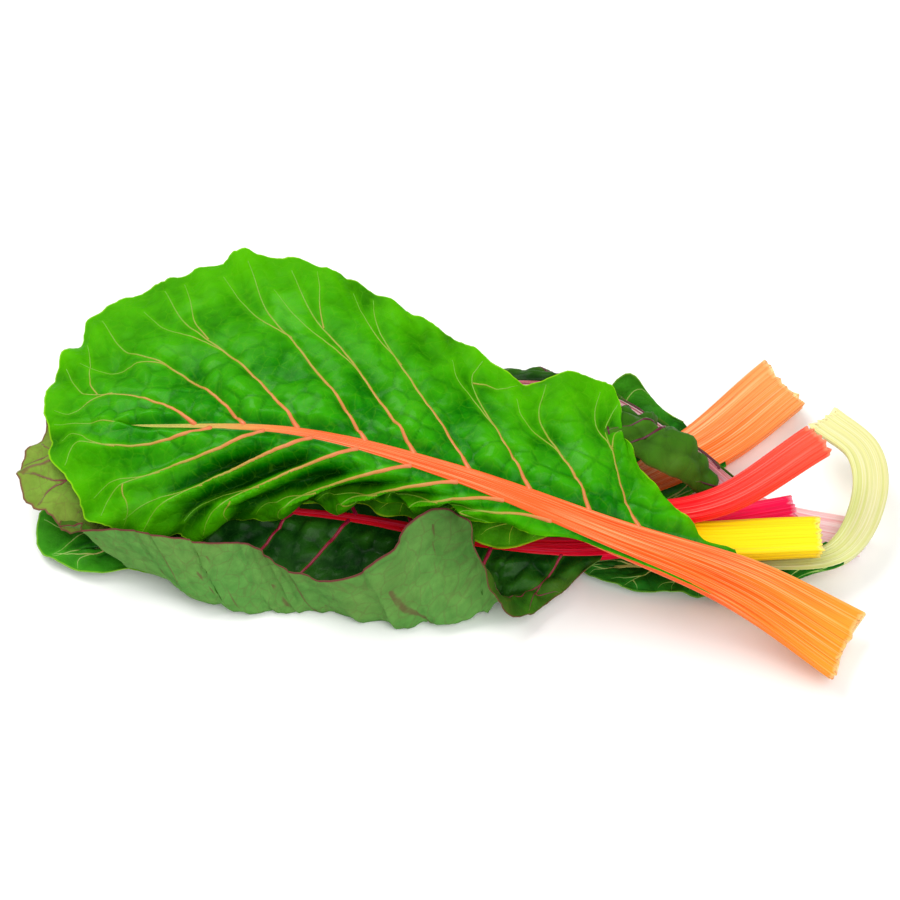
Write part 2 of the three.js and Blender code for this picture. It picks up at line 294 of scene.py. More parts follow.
# %% The seven leaves
LEAVES = [
    {
        "name": "orange",
        "rib": [
            (190, -105, 14), (140, -85, 35), (75, -65, 50), (0, -35, 59), (-75, -10, 60),
            (-160, 5, 48),
        ],
        "stalk": [
            (0, 44, 12, 4, 5), (0.07, 38, 12, 4, 4), (0.14, 32, 12, 4, 3), (0.26, 22, 11, 3, 1.2),
            (0.38, 16, 9, 3, 1), (0.59, 9.5, 6.5, 2, 0.6), (0.77, 5.5, 4, 1.2, 0.2),
            (1, 1.8, 1.6, 0.6, 0),
        ],
        "blade_from": 0.16,
        "rear": [
            (0, 3, 40, 10, 10), (0.08, 6, 60, 10, 10), (0.15, 36, 68, 8, 4), (0.22, 74, 78, 7, 0),
            (0.27, 78, 72, 7, 0), (0.34, 65, 66, 6, 0), (0.42, 85, 62, 6, 0),
            (0.5, 115, 56, 6, 0), (0.6, 128, 56, 5, 0), (0.7, 127, 58, 4, -2),
            (0.8, 118, 58, 4, -4), (0.88, 100, 52, 2, -6), (0.95, 62, 33, 0, -4),
            (1, 42, 0, 0, 0),
        ],
        "front": [
            (0, 2, 40, -50, -60), (0.15, 3, 60, -60, -80), (0.26, 5, 64, -60, -80),
            (0.34, 12, 64, -50, -90), (0.45, 28, 60, -50, -120), (0.56, 50, 58, -44, -120),
            (0.7, 76, 56, -30, -76), (0.85, 74, 48, -20, -34), (0.95, 52, 30, -12, -20),
            (1, 42, 0, 0, 0),
        ],
    },
    {
        "name": "peach",
        "rib": [
            (175, 70, 11), (130, 25, 11), (80, -5, 10), (0, -10, 8), (-100, -20, 6),
            (-180, -40, 5),
        ],
        "stalk": [
            (0, 35, 13, 3, 6), (0.1, 33, 13, 3, 5), (0.2, 28, 12, 3, 3), (0.32, 18, 10, 2, 1),
            (0.5, 10, 7, 1, 0.4), (0.75, 6, 4, 0.8, 0.2), (1, 2, 2, 0.5, 0),
        ],
        "blade_from": 0.16,
        "rear": [
            (0, 4, 80, 30, 40), (0.06, 41, 96, 34, 84), (0.13, 34, 88, 6, 20),
            (0.22, 54, 84, 6, 24), (0.4, 74, 74, 3, 14), (0.6, 84, 66, 2, 12),
            (0.8, 76, 58, 2, 10), (0.93, 48, 40, 2, 10), (1, 20, 0, 0, 6),
        ],
        "front": [
            (0, 3, 60, -10, -10), (0.1, 10, 80, -15, -10), (0.3, 22, 74, -14, -6),
            (0.6, 24, 66, -12, -4), (0.8, 26, 56, -7, 0), (0.93, 26, 36, -4, 0), (1, 20, 0, 0, 6),
        ],
    },
    {
        "name": "magenta",
        "rib": [
            (170, -30, 26), (120, -35, 18), (70, -45, 15), (10, -40, 14), (-50, -25, 13),
            (-150, -15, 15),
        ],
        "stalk": [
            (0, 17, 9, 2.5, 1), (0.2, 16, 9, 2.5, 1), (0.32, 13, 8, 2, 0.6),
            (0.45, 10, 6, 1.6, 0.4), (0.7, 6, 4, 1, 0.2), (1, 1.8, 1.6, 0.5, 0),
        ],
        "blade_from": 0.3,
        "rear": [
            (0, 3, 50, 10, 16), (0.1, 14, 78, 8, 10), (0.3, 46, 78, 8, 8), (0.5, 60, 70, 7, 6),
            (0.7, 60, 62, 6, 4), (0.88, 44, 50, 4, 2), (0.96, 34, 30, 4, 2), (1, 28, 0, 0, 0),
        ],
        "front": [
            (0, 3, 60, -30, -30), (0.07, 19, 84, -30, -20), (0.12, 27, 84, -28, 0),
            (0.17, 45, 84, -26, 70), (0.23, 78, 80, -28, 140), (0.3, 75, 74, -28, 120),
            (0.37, 70, 70, -26, 85), (0.5, 80, 66, -25, 75), (0.6, 95, 66, -24, 110),
            (0.72, 105, 68, -18, 105), (0.84, 82, 62, -14, 54), (0.95, 48, 36, -10, 4),
            (1, 28, 0, 0, 0),
        ],
    },
    {
        "name": "pale_pink",
        "rib": [
            (205, -35, 10), (155, -20, 13), (115, 5, 32), (75, 30, 42), (35, 40, 40),
            (-60, 40, 30), (-130, 35, 24),
        ],
        "stalk": [
            (0, 22, 10, 2, 1), (0.1, 19, 9.5, 2, 1), (0.2, 13, 8, 1.6, 0.6),
            (0.35, 9, 6, 1.2, 0.4), (0.6, 7, 4.5, 1, 0.2), (1, 1.8, 1.6, 0.5, 0),
        ],
        "blade_from": 0.19,
        "rear": [
            (0, 2, 60, 0, 0), (0.16, 3, 80, -20, -40), (0.27, 4, 84, -20, -60),
            (0.4, 22, 80, -16, -70), (0.6, 50, 70, -8, -50), (0.8, 58, 58, -6, -24),
            (0.92, 44, 42, -6, -16), (1, 30, 0, 0, -6),
        ],
        "front": [
            (0, 3, 60, 10, -20), (0.06, 24, 84, 50, -70), (0.18, 40, 88, 40, -80),
            (0.32, 34, 84, -10, -50), (0.5, 36, 74, -6, -20), (0.7, 36, 64, -6, -10),
            (0.88, 34, 48, -4, -6), (1, 30, 0, 0, -6),
        ],
    },
    {
        "name": "yellow",
        "rib": [
            (180, -50, 30), (110, -50, 29), (60, -35, 33), (0, -20, 39), (-70, -5, 38),
            (-140, 0, 29),
        ],
        "stalk": [
            (0, 22, 12, 3, 0.6), (0.12, 22, 12, 3, 0.6), (0.25, 17, 9.5, 2.4, 0.6),
            (0.4, 12, 7, 2, 0.5), (0.65, 7, 5, 1.2, 0.3), (1, 1.8, 1.6, 0.5, 0),
        ],
        "blade_from": 0.3,
        "rear": [
            (0, 3, 60, 8, 10), (0.12, 22, 80, 8, 12), (0.3, 46, 78, 8, 12), (0.5, 60, 72, 6, 6),
            (0.7, 64, 62, 5, 0), (0.88, 50, 50, 3, -4), (1, 28, 0, 0, 0),
        ],
        "front": [
            (0, 3, 60, -20, -20), (0.1, 12, 84, -14, -20), (0.21, 38, 88, -12, -40),
            (0.32, 24, 78, -24, -70), (0.45, 24, 72, -40, -80), (0.6, 26, 64, -44, -80),
            (0.75, 28, 58, -40, -60), (0.88, 28, 46, -26, -20), (1, 28, 0, 0, 0),
        ],
    },
    {
        "name": "red",
        "face_down": True,
        "rib": [
            (180, -10, 52), (130, -35, 35), (90, -40, 34), (0, -20, 45), (-75, 0, 48),
            (-140, 5, 42), (-193, -5, 32),
        ],
        "stalk": [
            (0, 20, 9, 3, 1), (0.12, 17, 8, 3, 1), (0.25, 13, 6.5, 2, 0.6),
            (0.45, 8, 4.5, 1, 0.4), (0.7, 5, 3, 0.6, 0.2), (1, 1.8, 1.4, 0.4, 0),
        ],
        "blade_from": 0.3,
        "rear": [
            (0, 3, 60, 4, 4), (0.12, 20, 80, 5, 6), (0.3, 50, 78, 5, 6), (0.5, 66, 70, 4, 4),
            (0.7, 66, 62, 3, 0), (0.88, 44, 50, 0, 0), (1, 24, 0, -10, -10),
        ],
        "front": [
            (0, 3, 60, -10, -10), (0.12, 8, 80, -10, -40), (0.3, 18, 74, -20, -50),
            (0.5, 26, 66, -24, -60), (0.66, 38, 60, -22, -60), (0.78, 52, 60, -20, -50),
            (0.9, 46, 50, -18, -40), (1, 24, 0, -10, -10),
        ],
    },
    {
        "name": "cream",
        "rib": [
            (190, 30, 27), (208, 10, 25), (208, -20, 23), (190, -50, 17), (150, -50, 8),
            (80, -50, 5),
        ],
        "stalk": [
            (0, 20, 7, 2, 2), (0.2, 18, 7, 2, 2), (0.4, 16, 7, 2, 1.6), (0.6, 11, 6, 1.6, 0.8),
            (0.8, 6, 3.5, 1, 0.3), (1, 1.8, 1.6, 0.5, 0),
        ],
        "blade_from": 0.46,
        "rear": [
            (0, 3, 60, 10, 10), (0.1, 5, 70, 0, -20), (0.3, 12, 74, -10, -20),
            (0.6, 16, 66, -6, -4), (0.85, 18, 50, -4, 0), (1, 20, 0, -2, 0),
        ],
        "front": [
            (0, 3, 60, -10, -20), (0.12, 6, 70, -30, -50), (0.35, 16, 74, -24, -10),
            (0.6, 19, 66, -14, 0), (0.85, 19, 50, -8, 0), (1, 20, 0, -2, 0),
        ],
    },
]
print(len(LEAVES), "leaves:", ", ".join(leaf["name"] for leaf in LEAVES))

# %% [markdown]
# ## Curves
#
# Two kinds of curve are enough. A table of rows is joined by a smooth curve through each of its
# numbers, and the midrib is a smooth line through its points, measured along its own length, so
# that half way is really half way.


# %% A smooth curve through each column of a table
def along(rows, shares):
    table = np.array(rows, float)
    place, values = table[:, 0], table[:, 1:]
    shares = np.atleast_1d(np.asarray(shares, float))
    last = len(place) - 1
    i = np.clip(np.searchsorted(place, shares, side="right") - 1, 0, last - 1)
    span = place[i + 1] - place[i]
    t = np.clip((shares - place[i]) / span, 0, 1)[:, None]

    def slope(a, b):
        return (values[b] - values[a]) / (place[b] - place[a])[:, None] * span[:, None]

    start = slope(np.maximum(i - 1, 0), i + 1)
    end = slope(i, np.minimum(i + 2, last))
    return (
        (2 * t**3 - 3 * t**2 + 1) * values[i]
        + (t**3 - 2 * t**2 + t) * start
        + (3 * t**2 - 2 * t**3) * values[i + 1]
        + (t**3 - t**2) * end
    )


# %% A smooth line through points
class Line:
    """A curve through points that neither loops nor overshoots, however they are spaced."""

    PIECES = 60

    def __init__(self, points):
        points = np.array(points, float)
        ends = [2 * points[0] - points[1]], [2 * points[-1] - points[-2]]
        knots = np.vstack([ends[0], points, ends[1]])
        t = np.linspace(0, 1, self.PIECES, endpoint=False)[:, None]
        runs = []
        for p0, p1, p2, p3 in zip(knots, knots[1:], knots[2:], knots[3:]):
            a, b, c = (np.linalg.norm(q - p) ** 0.5 for p, q in ((p0, p1), (p1, p2), (p2, p3)))
            leave = ((p1 - p0) / a - (p2 - p0) / (a + b) + (p2 - p1) / b) * b
            arrive = ((p2 - p1) / b - (p3 - p1) / (b + c) + (p3 - p2) / c) * b
            square = 3 * (p2 - p1) - 2 * leave - arrive
            cube = 2 * (p1 - p2) + leave + arrive
            runs.append(p1 + leave * t + square * t**2 + cube * t**3)
        self.dots = np.vstack([*runs, points[-1:]])
        steps = np.linalg.norm(np.diff(self.dots, axis=0), axis=1)
        self.reach = np.concatenate([[0], np.cumsum(steps)])
        self.length = self.reach[-1]

    def at(self, shares):
        run = np.asarray(shares, float) * self.length
        return np.stack([np.interp(run, self.reach, axis) for axis in self.dots.T], -1)

    def frame(self, shares):
        """Points on the line, and at each the directions along it, to its front side and up."""
        shares = np.asarray(shares, float)
        step = 1 / self.length
        ahead = self.at(np.minimum(shares + step, 1)) - self.at(np.maximum(shares - step, 0))
        ahead = unit(ahead)
        side = unit(np.cross([0.0, 0.0, 1.0], ahead))
        return self.at(shares), ahead, side, np.cross(ahead, side)


def unit(vectors):
    return vectors / np.maximum(np.linalg.norm(vectors, axis=-1, keepdims=True), 1e-9)


def smooth(value, low, high):
    t = np.clip((value - low) / (high - low), 0, 1)
    return t * t * (3 - 2 * t)

# %% [markdown]
# ## Folds deeper than the solids have
#
# Thin margins fold further than a solid can. Finished points could be pushed about, but a fold
# stays smoother if the recipe itself changes. For single rows this gives a factor on the ray's
# length, then its slopes at the rib and at the margin; the pale pink leaf folds over its own
# midrib. The magenta leaf's front half needs new rows altogether: it stands up as a wall in two
# parts, with a low stretch round share 0.4, and its margin bends back over the inside.

# %% The deeper folds
FOLDS = {
    ("pale_pink", "front"): {0.06: (1, 75, -60), 0.18: (1, 70, -70)},
    ("yellow", "front"): {0.1: (0.8, -14, -20), 0.21: (0.7, -12, -40)},
    ("orange", "rear"): {0.88: (1.05, 2, -6), 0.95: (1.12, 0, -4)},
    ("orange", "front"): {0: (0.4, -50, -60), 0.15: (0.5, -60, -80), 0.26: (0.8, -60, -80)},
    ("cream", "rear"): {0: (0.4, 10, 10), 0.1: (0.4, 0, -20), 0.3: (0.6, -10, -20)},
    ("cream", "front"): {0: (0.4, -10, -20), 0.12: (0.5, -30, -50)},
}
WALL = [
    (0, 3, 60, -30, -30), (0.07, 19, 84, -30, -20), (0.12, 34, 84, -28, 0),
    (0.17, 62, 84, -26, 60), (0.22, 98, 82, -26, 138), (0.26, 100, 80, -26, 132),
    (0.31, 96, 77, -25, 105), (0.37, 92, 73, -24, 88), (0.44, 92, 68, -23, 90),
    (0.51, 104, 67, -20, 128), (0.6, 108, 66, -18, 135), (0.72, 104, 66, -14, 132),
    (0.84, 86, 58, -10, 112), (0.95, 58, 36, -8, 60), (1, 28, 0, 0, 0),
]
# share of the midrib, and the share of the ray at which it turns up there
WALL_FOOT = [(0, 0.26), (0.25, 0.28), (0.35, 0.42), (0.55, 0.46), (1, 0.46)]
WALL_TURN = 0.3  # share of a ray over which it turns

for leaf in LEAVES:
    leaf["line"] = Line(leaf["rib"])
    for side in ("front", "rear"):
        folds, rows = FOLDS.get((leaf["name"], side), {}), []
        for share, length, sweep, *slopes in leaf[side]:
            fold = folds.get(share, (1, *slopes))
            rows.append((share, length * fold[0], sweep, *fold[1:]))
        leaf[side] = rows
    if leaf["name"] == "magenta":
        leaf["front"] = WALL
print("midribs in mm:", {leaf["name"]: round(leaf["line"].length) for leaf in LEAVES})

# %% [markdown]
# ## Where each leaf stands
#
# The recipe places a leaf in its own pile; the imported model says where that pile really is. Each
# stalk's plain outline is laid out once and compared with the box of its solid, and the leaf is
# moved by the difference.


# %% The outline of a stalk
SOLID_RINGS = 15
SOLID_SIDES = 14
SOLID_END = 0.965  # share of the midrib at which the solid stops


def stalk_rings(leaf, shares, turns):
    """Points round the stalk at each share of its length, and the direction along it there."""
    point, ahead, side, up = leaf["line"].frame(shares)
    if leaf.get("face_down"):
        side, up = -side, -up
    width, depth, swell, channel = along(leaf["stalk"], shares).T[:, :, None]
    bow = np.abs(np.sin(turns))
    face = swell * bow - channel * bow**2
    height = np.where(np.sin(turns) > 0, face, -depth * bow)
    across = width / 2 * np.cos(turns)
    rings = point[:, None] + side[:, None] * across[..., None] + up[:, None] * height[..., None]
    return rings, ahead


for leaf in LEAVES:
    solid_turns = 2 * math.pi * (np.arange(SOLID_SIDES) + 0.5) / SOLID_SIDES
    rings = stalk_rings(leaf, np.linspace(0, SOLID_END, SOLID_RINGS), solid_turns)[0]
    flat_rings = rings.reshape(-1, 3)
    flat_rings[:, 2] = np.maximum(flat_rings[:, 2], 0)
    low, high = (np.array(corner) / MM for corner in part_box(leaf["name"] + "_stalk"))
    leaf["seat"] = (low + high) / 2 - (flat_rings.min(0) + flat_rings.max(0)) / 2
print("seats in mm:", {leaf["name"]: leaf["seat"].round(2).tolist() for leaf in LEAVES})

# %% [markdown]
# ## The blade as a fan of rays
#
# A blade could be cut from a flat sheet and bent, but a leaf grows as a fan: side veins leave the
# midrib one after another, and the margin runs through their ends. So the sheet here is a grid of
# rays from midrib to margin, from the front of the stalk round the tip and back along the rear.
# Each ray is walked in small steps, turning and sloping as it goes. The same walk without the
# slopes gives every point a second place on an ungathered, flat leaf, on which patterns can be
# drawn without stretching.

# %% Walking the rays
VEIN_BEND = 10.0  # degrees that a ray turns towards the tip on its way out
LATE_CURL = 1.8  # power of the way out: the slope changes mostly near the margin
TUCK = 0.4  # how far the blade's inner edge reaches into the flesh of the midrib


def walk_rays(leaf, sign, shares, steps):
    length, sweep, slope_in, slope_out = along(leaf["front" if sign > 0 else "rear"], shares).T
    rib_share = leaf["blade_from"] + (1 - leaf["blade_from"]) * shares
    point, ahead, side, up = leaf["line"].frame(rib_share)
    outward = side * sign
    half_width = along(leaf["stalk"], rib_share)[:, 0] / 2 - TUCK
    forward = np.cos(np.radians(sweep)) ** 4
    aside = half_width * np.sqrt(1 - forward**2)
    spot = point + outward * aside[:, None] + ahead * (half_width * forward)[:, None]
    plan = np.stack([rib_share * leaf["line"].length + half_width * forward, sign * aside], -1)
    spots, plans = [spot], [plan]
    bend = np.minimum(VEIN_BEND, sweep)
    foot = along(WALL_FOOT, shares)[:, 0]
    stride = (length / steps)[:, None]
    is_wall = leaf["front"] is WALL and sign > 0
    for k in range(steps):
        t = (k + 0.5) / steps
        lean = np.radians(sweep - bend * t)[:, None]
        turned = smooth(t, foot, foot + WALL_TURN) if is_wall else t**LATE_CURL
        slope = np.radians(slope_in + (slope_out - slope_in) * turned)[:, None]
        away = outward * np.cos(slope) + up * np.sin(slope)
        spot = spot + (ahead * np.cos(lean) + away * np.sin(lean)) * stride
        plan = plan + np.hstack([np.cos(lean), sign * np.sin(lean)]) * stride
        spots.append(spot)
        plans.append(plan)
    return np.stack(spots, 1) + leaf["seat"], np.stack(plans, 1)


# %% A grid over the whole blade
class Blade:
    """Stations run from the stalk's front side round the tip to its rear side, each one a ray."""

    SCOUTS = 601  # rays walked first, to space the stations evenly over the ground they cover
    SCOUT_STEPS = 12
    MARGIN_SAY = 0.65  # weight of the spacing at the margin against that further in

    def __init__(self, leaf, stations, across):
        self.leaf = leaf
        scout_turn = np.linspace(0, 2, self.SCOUTS)
        scout = self.walk(scout_turn, self.SCOUT_STEPS)[0]
        steps = np.linalg.norm(np.diff(scout, axis=0), axis=-1)
        at_margin, inside = steps[:, -1], steps[:, self.SCOUT_STEPS // 3]
        pace = self.MARGIN_SAY * at_margin + (1 - self.MARGIN_SAY) * inside + 0.02
        ground = np.concatenate([[0], np.cumsum(pace)])
        self.turn = np.interp(np.linspace(0, ground[-1], stations), ground, scout_turn)
        self.points, self.plan = self.walk(self.turn, across - 1)
        self.sign = np.where(self.turn <= 1, 1, -1)
        self.share = np.where(self.turn <= 1, self.turn, 2 - self.turn)
        self.out = np.linspace(0, 1, across)
        reach = np.linalg.norm(np.diff(self.points, axis=1), axis=-1)
        self.from_rib = np.hstack([np.zeros((stations, 1)), np.cumsum(reach, axis=1)])
        self.length = self.from_rib[:, -1]
        edge = np.linalg.norm(np.diff(self.points[:, -1], axis=0), axis=-1)
        self.edge_run = np.concatenate([[0], np.cumsum(edge)])
        self.rise = np.zeros(self.points.shape[:2])

    def walk(self, turn, steps):
        front, rear = turn[turn <= 1], turn[turn > 1]
        halves = [walk_rays(self.leaf, 1, front, steps), walk_rays(self.leaf, -1, 2 - rear, steps)]
        return tuple(np.concatenate(pair) for pair in zip(*halves))

    def normals(self):
        along_margin = np.gradient(self.points, axis=0)
        across = np.gradient(self.points, axis=1)
        return unit(np.cross(along_margin, across))

    def lift(self, height):
        """Raises the sheet along its own normals."""
        self.points = self.points + self.normals() * height[..., None]
        self.rise = self.rise + height

    def spread(self, extra):
        """Lengthens or shortens each ray by a share of its length."""
        start = self.points[:, :1]
        self.points = start + (self.points - start) * (1 + extra)[:, None, None]

    def sample(self, grid, sign, shares, outs):
        """Values of a grid at shares of the midrib and of the way out, on one side."""
        turn = np.where(sign > 0, shares, 2 - np.asarray(shares))
        i = np.interp(turn, self.turn, np.arange(len(self.turn)))
        j = np.asarray(outs) * (len(self.out) - 1)
        i0 = np.clip(i.astype(int), 0, len(self.turn) - 2)
        j0 = np.clip(j.astype(int), 0, len(self.out) - 2)
        a, b = (i - i0)[:, None], (j - j0)[:, None]
        values = grid.reshape(*grid.shape[:2], -1)
        near = values[i0, j0] * (1 - b) + values[i0, j0 + 1] * b
        far = values[i0 + 1, j0] * (1 - b) + values[i0 + 1, j0 + 1] * b
        return near * (1 - a) + far * a


trial = Blade(LEAVES[0], 60, 12)
print("the orange leaf's margin is", round(trial.edge_run[-1]), "mm long")

# %% [markdown]
# ## Veins
#
# Main veins leave the midrib one after another, bow towards the tip and fork before the margin.
# They could be drawn one by one, but they repeat, so a rule grows them: how many there are, where
# the first and the last one leave the midrib, and how far they lean. A little seeded chance keeps
# them from looking ruled. Each vein is a few stops: the share of the midrib, and the share of the
# way out. The blade's relief reads the same stops, so every puff lies between two veins.

# %% Growing veins by a rule
VEIN_RULES = {  # number of veins, first root, last root, lean towards the tip in gaps
    ("orange", "rear"): (9, 0.16, 0.9, 0.8),
    ("orange", "front"): (8, 0.3, 0.86, 1.3),
    ("magenta", "front"): (6, 0.1, 0.86, 0.2),
    ("pale_pink", "front"): (9, 0.05, 0.9, -0.2),
    ("yellow", "front"): (8, 0.08, 0.9, 0.2),
}
COMMON_RULE = (8, 0.06, 0.92, 0.3)
ROOT_CHANCE = 0.14  # in gaps
STRAY_CHANCE = 0.25  # in gaps, at the margin


def veins_of(leaf, side):
    """Stops of the main veins and of their forks on one side of a leaf."""
    count, first, last, lean = VEIN_RULES.get((leaf["name"], side), COMMON_RULE)
    dice = np.random.default_rng(3 * len(leaf["rib"]) + 10 * len(leaf["name"]) + (side == "rear"))
    gap = (last - first) / (count - 1)
    main, forks = [], []
    for k in range(count):
        root = first + gap * (k + dice.uniform(-ROOT_CHANCE, ROOT_CHANCE))
        bow, stray = gap * lean, gap * dice.uniform(-STRAY_CHANCE, STRAY_CHANCE)
        shares = [root, root + 0.6 * bow, root + bow + 0.5 * stray, root + 0.8 * bow + stray]
        outs = [0, 0.35, 0.65, 0.93]
        main.append(list(zip(shares, outs)))
        for way, leave in ((1, dice.uniform(0.35, 0.5)), (-1, dice.uniform(0.5, 0.68))):
            if way < 0 and k % 2:
                continue
            aside = way * gap * dice.uniform(0.3, 0.5)
            way_out = leave + np.array([0, 0.12, 0.26, 0.42]) * min(1, (0.94 - leave) / 0.42)
            beside = np.interp(way_out, outs, shares) + aside * np.array([0, 0.4, 0.75, 1])
            forks.append(list(zip(beside, way_out)))
    if side == "front":
        forks.append([(1, 0), (0.998, 0.5), (0.995, 0.92)])
    return {"main": main, "forks": forks}


print("veins on the orange leaf:", sum(len(v) for v in veins_of(LEAVES[0], "rear").values()))

# %% [markdown]
# ## Relief
#
# Between its veins the blade grows faster than they do: it rises in one puff from vein to vein,
# and in small pillows with creases between them. At the margin it has more edge than room, and
# ruffles. On the front half of the orange leaf, which is gathered under its own stalk, the veins
# are the crests and the blade drops into deep pleats between them.

# %% Waves and pillows
WAVES_IN_A_SWELL = 9


def swell_waves(plan, length, seed):
    """A smooth random swell of about one wavelength, mostly within -1 and 1."""
    dice = np.random.default_rng(seed)
    total = np.zeros(plan.shape[:-1])
    for _ in range(WAVES_IN_A_SWELL):
        way, phase = dice.uniform(0, 2 * math.pi, 2)
        pitch = 2 * math.pi / (length * dice.uniform(0.75, 1.35))
        run = plan[..., 0] * math.cos(way) + plan[..., 1] * math.sin(way)
        total += np.sin(pitch * run + phase)
    return total / WAVES_IN_A_SWELL**0.5


def pillows(plan, size, seed):
    """Domes of about one size: how far each point is from the crease between two of them."""
    dice = np.random.default_rng(seed)
    low, high = plan.reshape(-1, 2).min(0) - size, plan.reshape(-1, 2).max(0) + size
    across, up = np.meshgrid(*(np.arange(a, b, size) for a, b in zip(low, high)))
    middles = np.stack([across.ravel(), up.ravel()], -1)
    middles += dice.uniform(-0.42, 0.42, middles.shape) * size
    nearest = []
    for row in plan:
        gaps = np.linalg.norm(row[:, None] - middles[None], axis=-1)
        two = np.partition(gaps, 1, axis=1)[:, :2]
        nearest.append(two[:, 1] - two[:, 0])
    return np.array(nearest)


def vein_gap(blade, veins):
    """Where each point lies between its two neighbouring veins, 0 to 1, on one side."""
    bounds = [np.full_like(blade.out, -0.04)]
    for stops in veins["main"]:
        share, out = zip(*stops)
        bounds.append(np.interp(blade.out, out, share))
    bounds.append(np.full_like(blade.out, 1.06))
    bounds = np.sort(np.array(bounds), axis=0)
    share = blade.share[:, None]
    below = np.clip((share[None] >= bounds[:, None]).sum(0) - 1, 0, len(bounds) - 2)
    columns = np.arange(len(blade.out))[None]
    low, high = bounds[below, columns], bounds[below + 1, columns]
    return np.clip((share - low) / np.maximum(high - low, 1e-6), 0, 1)


# %% How strongly each half is shaped, in mm
PLAIN = {
    "puff": 1.4, "pleat": 0.0, "swell": 1.2, "pillow": 0.8, "ruffle": 2.0,
    "ragged": 0.02, "lobe": 0.02, "grow": 0.0,
}
RELIEF = {
    ("orange", "rear"): {
        "puff": 4.5, "swell": 2.6, "pillow": 1.1, "ruffle": 3.0, "lobe": 0.016, "ragged": 0.014,
    },
    ("orange", "front"): {"puff": 0.0, "pleat": 11.0, "pillow": 0.8, "ruffle": 3.0},
    ("magenta", "front"): {"puff": 1.5, "swell": 0.8, "pillow": 1.6, "ruffle": 1.6, "ragged": 0.03},
    ("pale_pink", "rear"): {"grow": -0.45},
    ("red", "front"): {"puff": 3.0, "ruffle": 4.0, "ragged": 0.05},
    ("red", "rear"): {"puff": 3.0, "ruffle": 4.0, "ragged": 0.05},
    ("cream", "front"): {"grow": -0.3},
    ("pale_pink", "front"): {"puff": 3.6, "pillow": 2.4, "ruffle": 2.5},
    ("yellow", "front"): {"puff": 1.2, "ruffle": 3.0},
}
CREST_SHARE = 0.3  # how much of a pleat stands above the plain fan
PILLOW_SIZE = 13.0  # mm
SWELL_SIZE, SMALL_SWELL_SIZE = 34, 12  # mm
NOTCH_SIZES = (24, 9, 4)  # mm, the largest is cut deepest
RIB_FADE = 26  # mm from the midrib over which its extra relief fades

print(len(RELIEF), "halves have a relief of their own")


# %% Lifting a blade out of its plain fan
def shape_blade(blade, seed):
    """Lifts the plain fan into pillows, pleats and ruffles."""
    leaf = blade.leaf
    run = blade.edge_run
    height = np.zeros_like(blade.rise)
    extra = np.zeros_like(run)
    crease = pillows(blade.plan, PILLOW_SIZE, seed)
    for sign, side in ((1, "front"), (-1, "rear")):
        mine = blade.sign == sign
        force = {**PLAIN, **RELIEF.get((leaf["name"], side), {})}
        gap = vein_gap(blade, veins_of(leaf, side))
        dome = np.sin(math.pi * gap) ** 0.7
        near_rib = np.exp(-blade.from_rib / RIB_FADE)
        held = smooth(blade.from_rib, 0, 7)
        part = force["puff"] * dome * (0.55 + 0.45 * near_rib)
        part += force["swell"] * swell_waves(blade.plan, SWELL_SIZE, seed + 1) * 0.6
        part += force["pillow"] * np.minimum(crease / 6, 1) ** 0.7 * (0.2 + 1.5 * near_rib)
        small = swell_waves(blade.plan, SMALL_SWELL_SIZE, seed + 2)
        part += 0.5 * force["pillow"] * small * (0.4 + 1.4 * near_rib)
        depth = np.sin(math.pi * gap**0.8) ** 1.3 * smooth(blade.from_rib, 2, 22)
        depth = depth * (1 - 0.8 * smooth(blade.share, 0.72, 0.9))[:, None]
        drop = (depth - CREST_SHARE) * (1 - 0.55 * smooth(blade.out, 0.55, 1))[None]
        part -= force["pleat"] * drop
        frill = np.sin(run / 6.1 + 1.3 * np.sin(run / 17)) + 0.6 * np.sin(run / 3.7 + seed)
        part += force["ruffle"] * (frill * 0.6)[:, None] * (blade.out[None] ** 4)
        height[mine] = (part * held)[mine]
        edge = np.column_stack([run, np.zeros_like(run)])
        notches = sum(swell_waves(edge, size, seed + size) * size for size in NOTCH_SIZES)
        lobes = np.cos(2 * math.pi * gap[:, -1])
        trim = force["ragged"] * notches / NOTCH_SIZES[0] + force["lobe"] * lobes + force["grow"]
        extra[mine] = trim[mine]
    blade.spread(extra * smooth(blade.length, 6, 40))
    blade.lift(height)
    blade.crease = crease
    return blade


shape_blade(trial, 3)
print("relief of the trial blade, mm:", trial.rise.min().round(1), "to", trial.rise.max().round(1))

# %% [markdown]
# ## From points to pieces
#
# Every surface here is a grid or a tube, so one helper makes all the meshes: it takes points in
# millimetres, faces, and the numbers that the finish will read at each point. It also lays out a
# map of the grid without overlaps, so that the finish can be saved to a picture later.


# %% Making a piece
SHARP_ANGLE = math.radians(65)


def make_piece(name, points, faces, finish, values, atlas, stands_for):
    mesh = bpy.data.meshes.new(name)
    mesh.from_pydata((points * MM).tolist(), [], faces)
    for key, numbers in values.items():
        numbers = np.asarray(numbers, np.float32)
        is_place = numbers.ndim == 2
        layer = mesh.attributes.new(key, "FLOAT_VECTOR" if is_place else "FLOAT", "POINT")
        layer.data.foreach_set("vector" if is_place else "value", numbers.ravel())
    layout = mesh.uv_layers.new(name="OFBake")
    layout.data.foreach_set("uv", np.asarray(atlas, np.float32).ravel())
    mesh.materials.append(finish)
    mesh.shade_smooth()
    mesh.set_sharp_from_angle(angle=SHARP_ANGLE)
    piece = bpy.data.objects.new(name, mesh)
    bpy.context.collection.objects.link(piece)
    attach(piece, "root")
    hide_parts(stands_for)


def grid_faces(rows, columns):
    index = np.arange(rows * columns).reshape(rows, columns)
    corners = index[:-1, :-1], index[:-1, 1:], index[1:, 1:], index[1:, :-1]
    return np.stack(corners, -1).reshape(-1, 4)


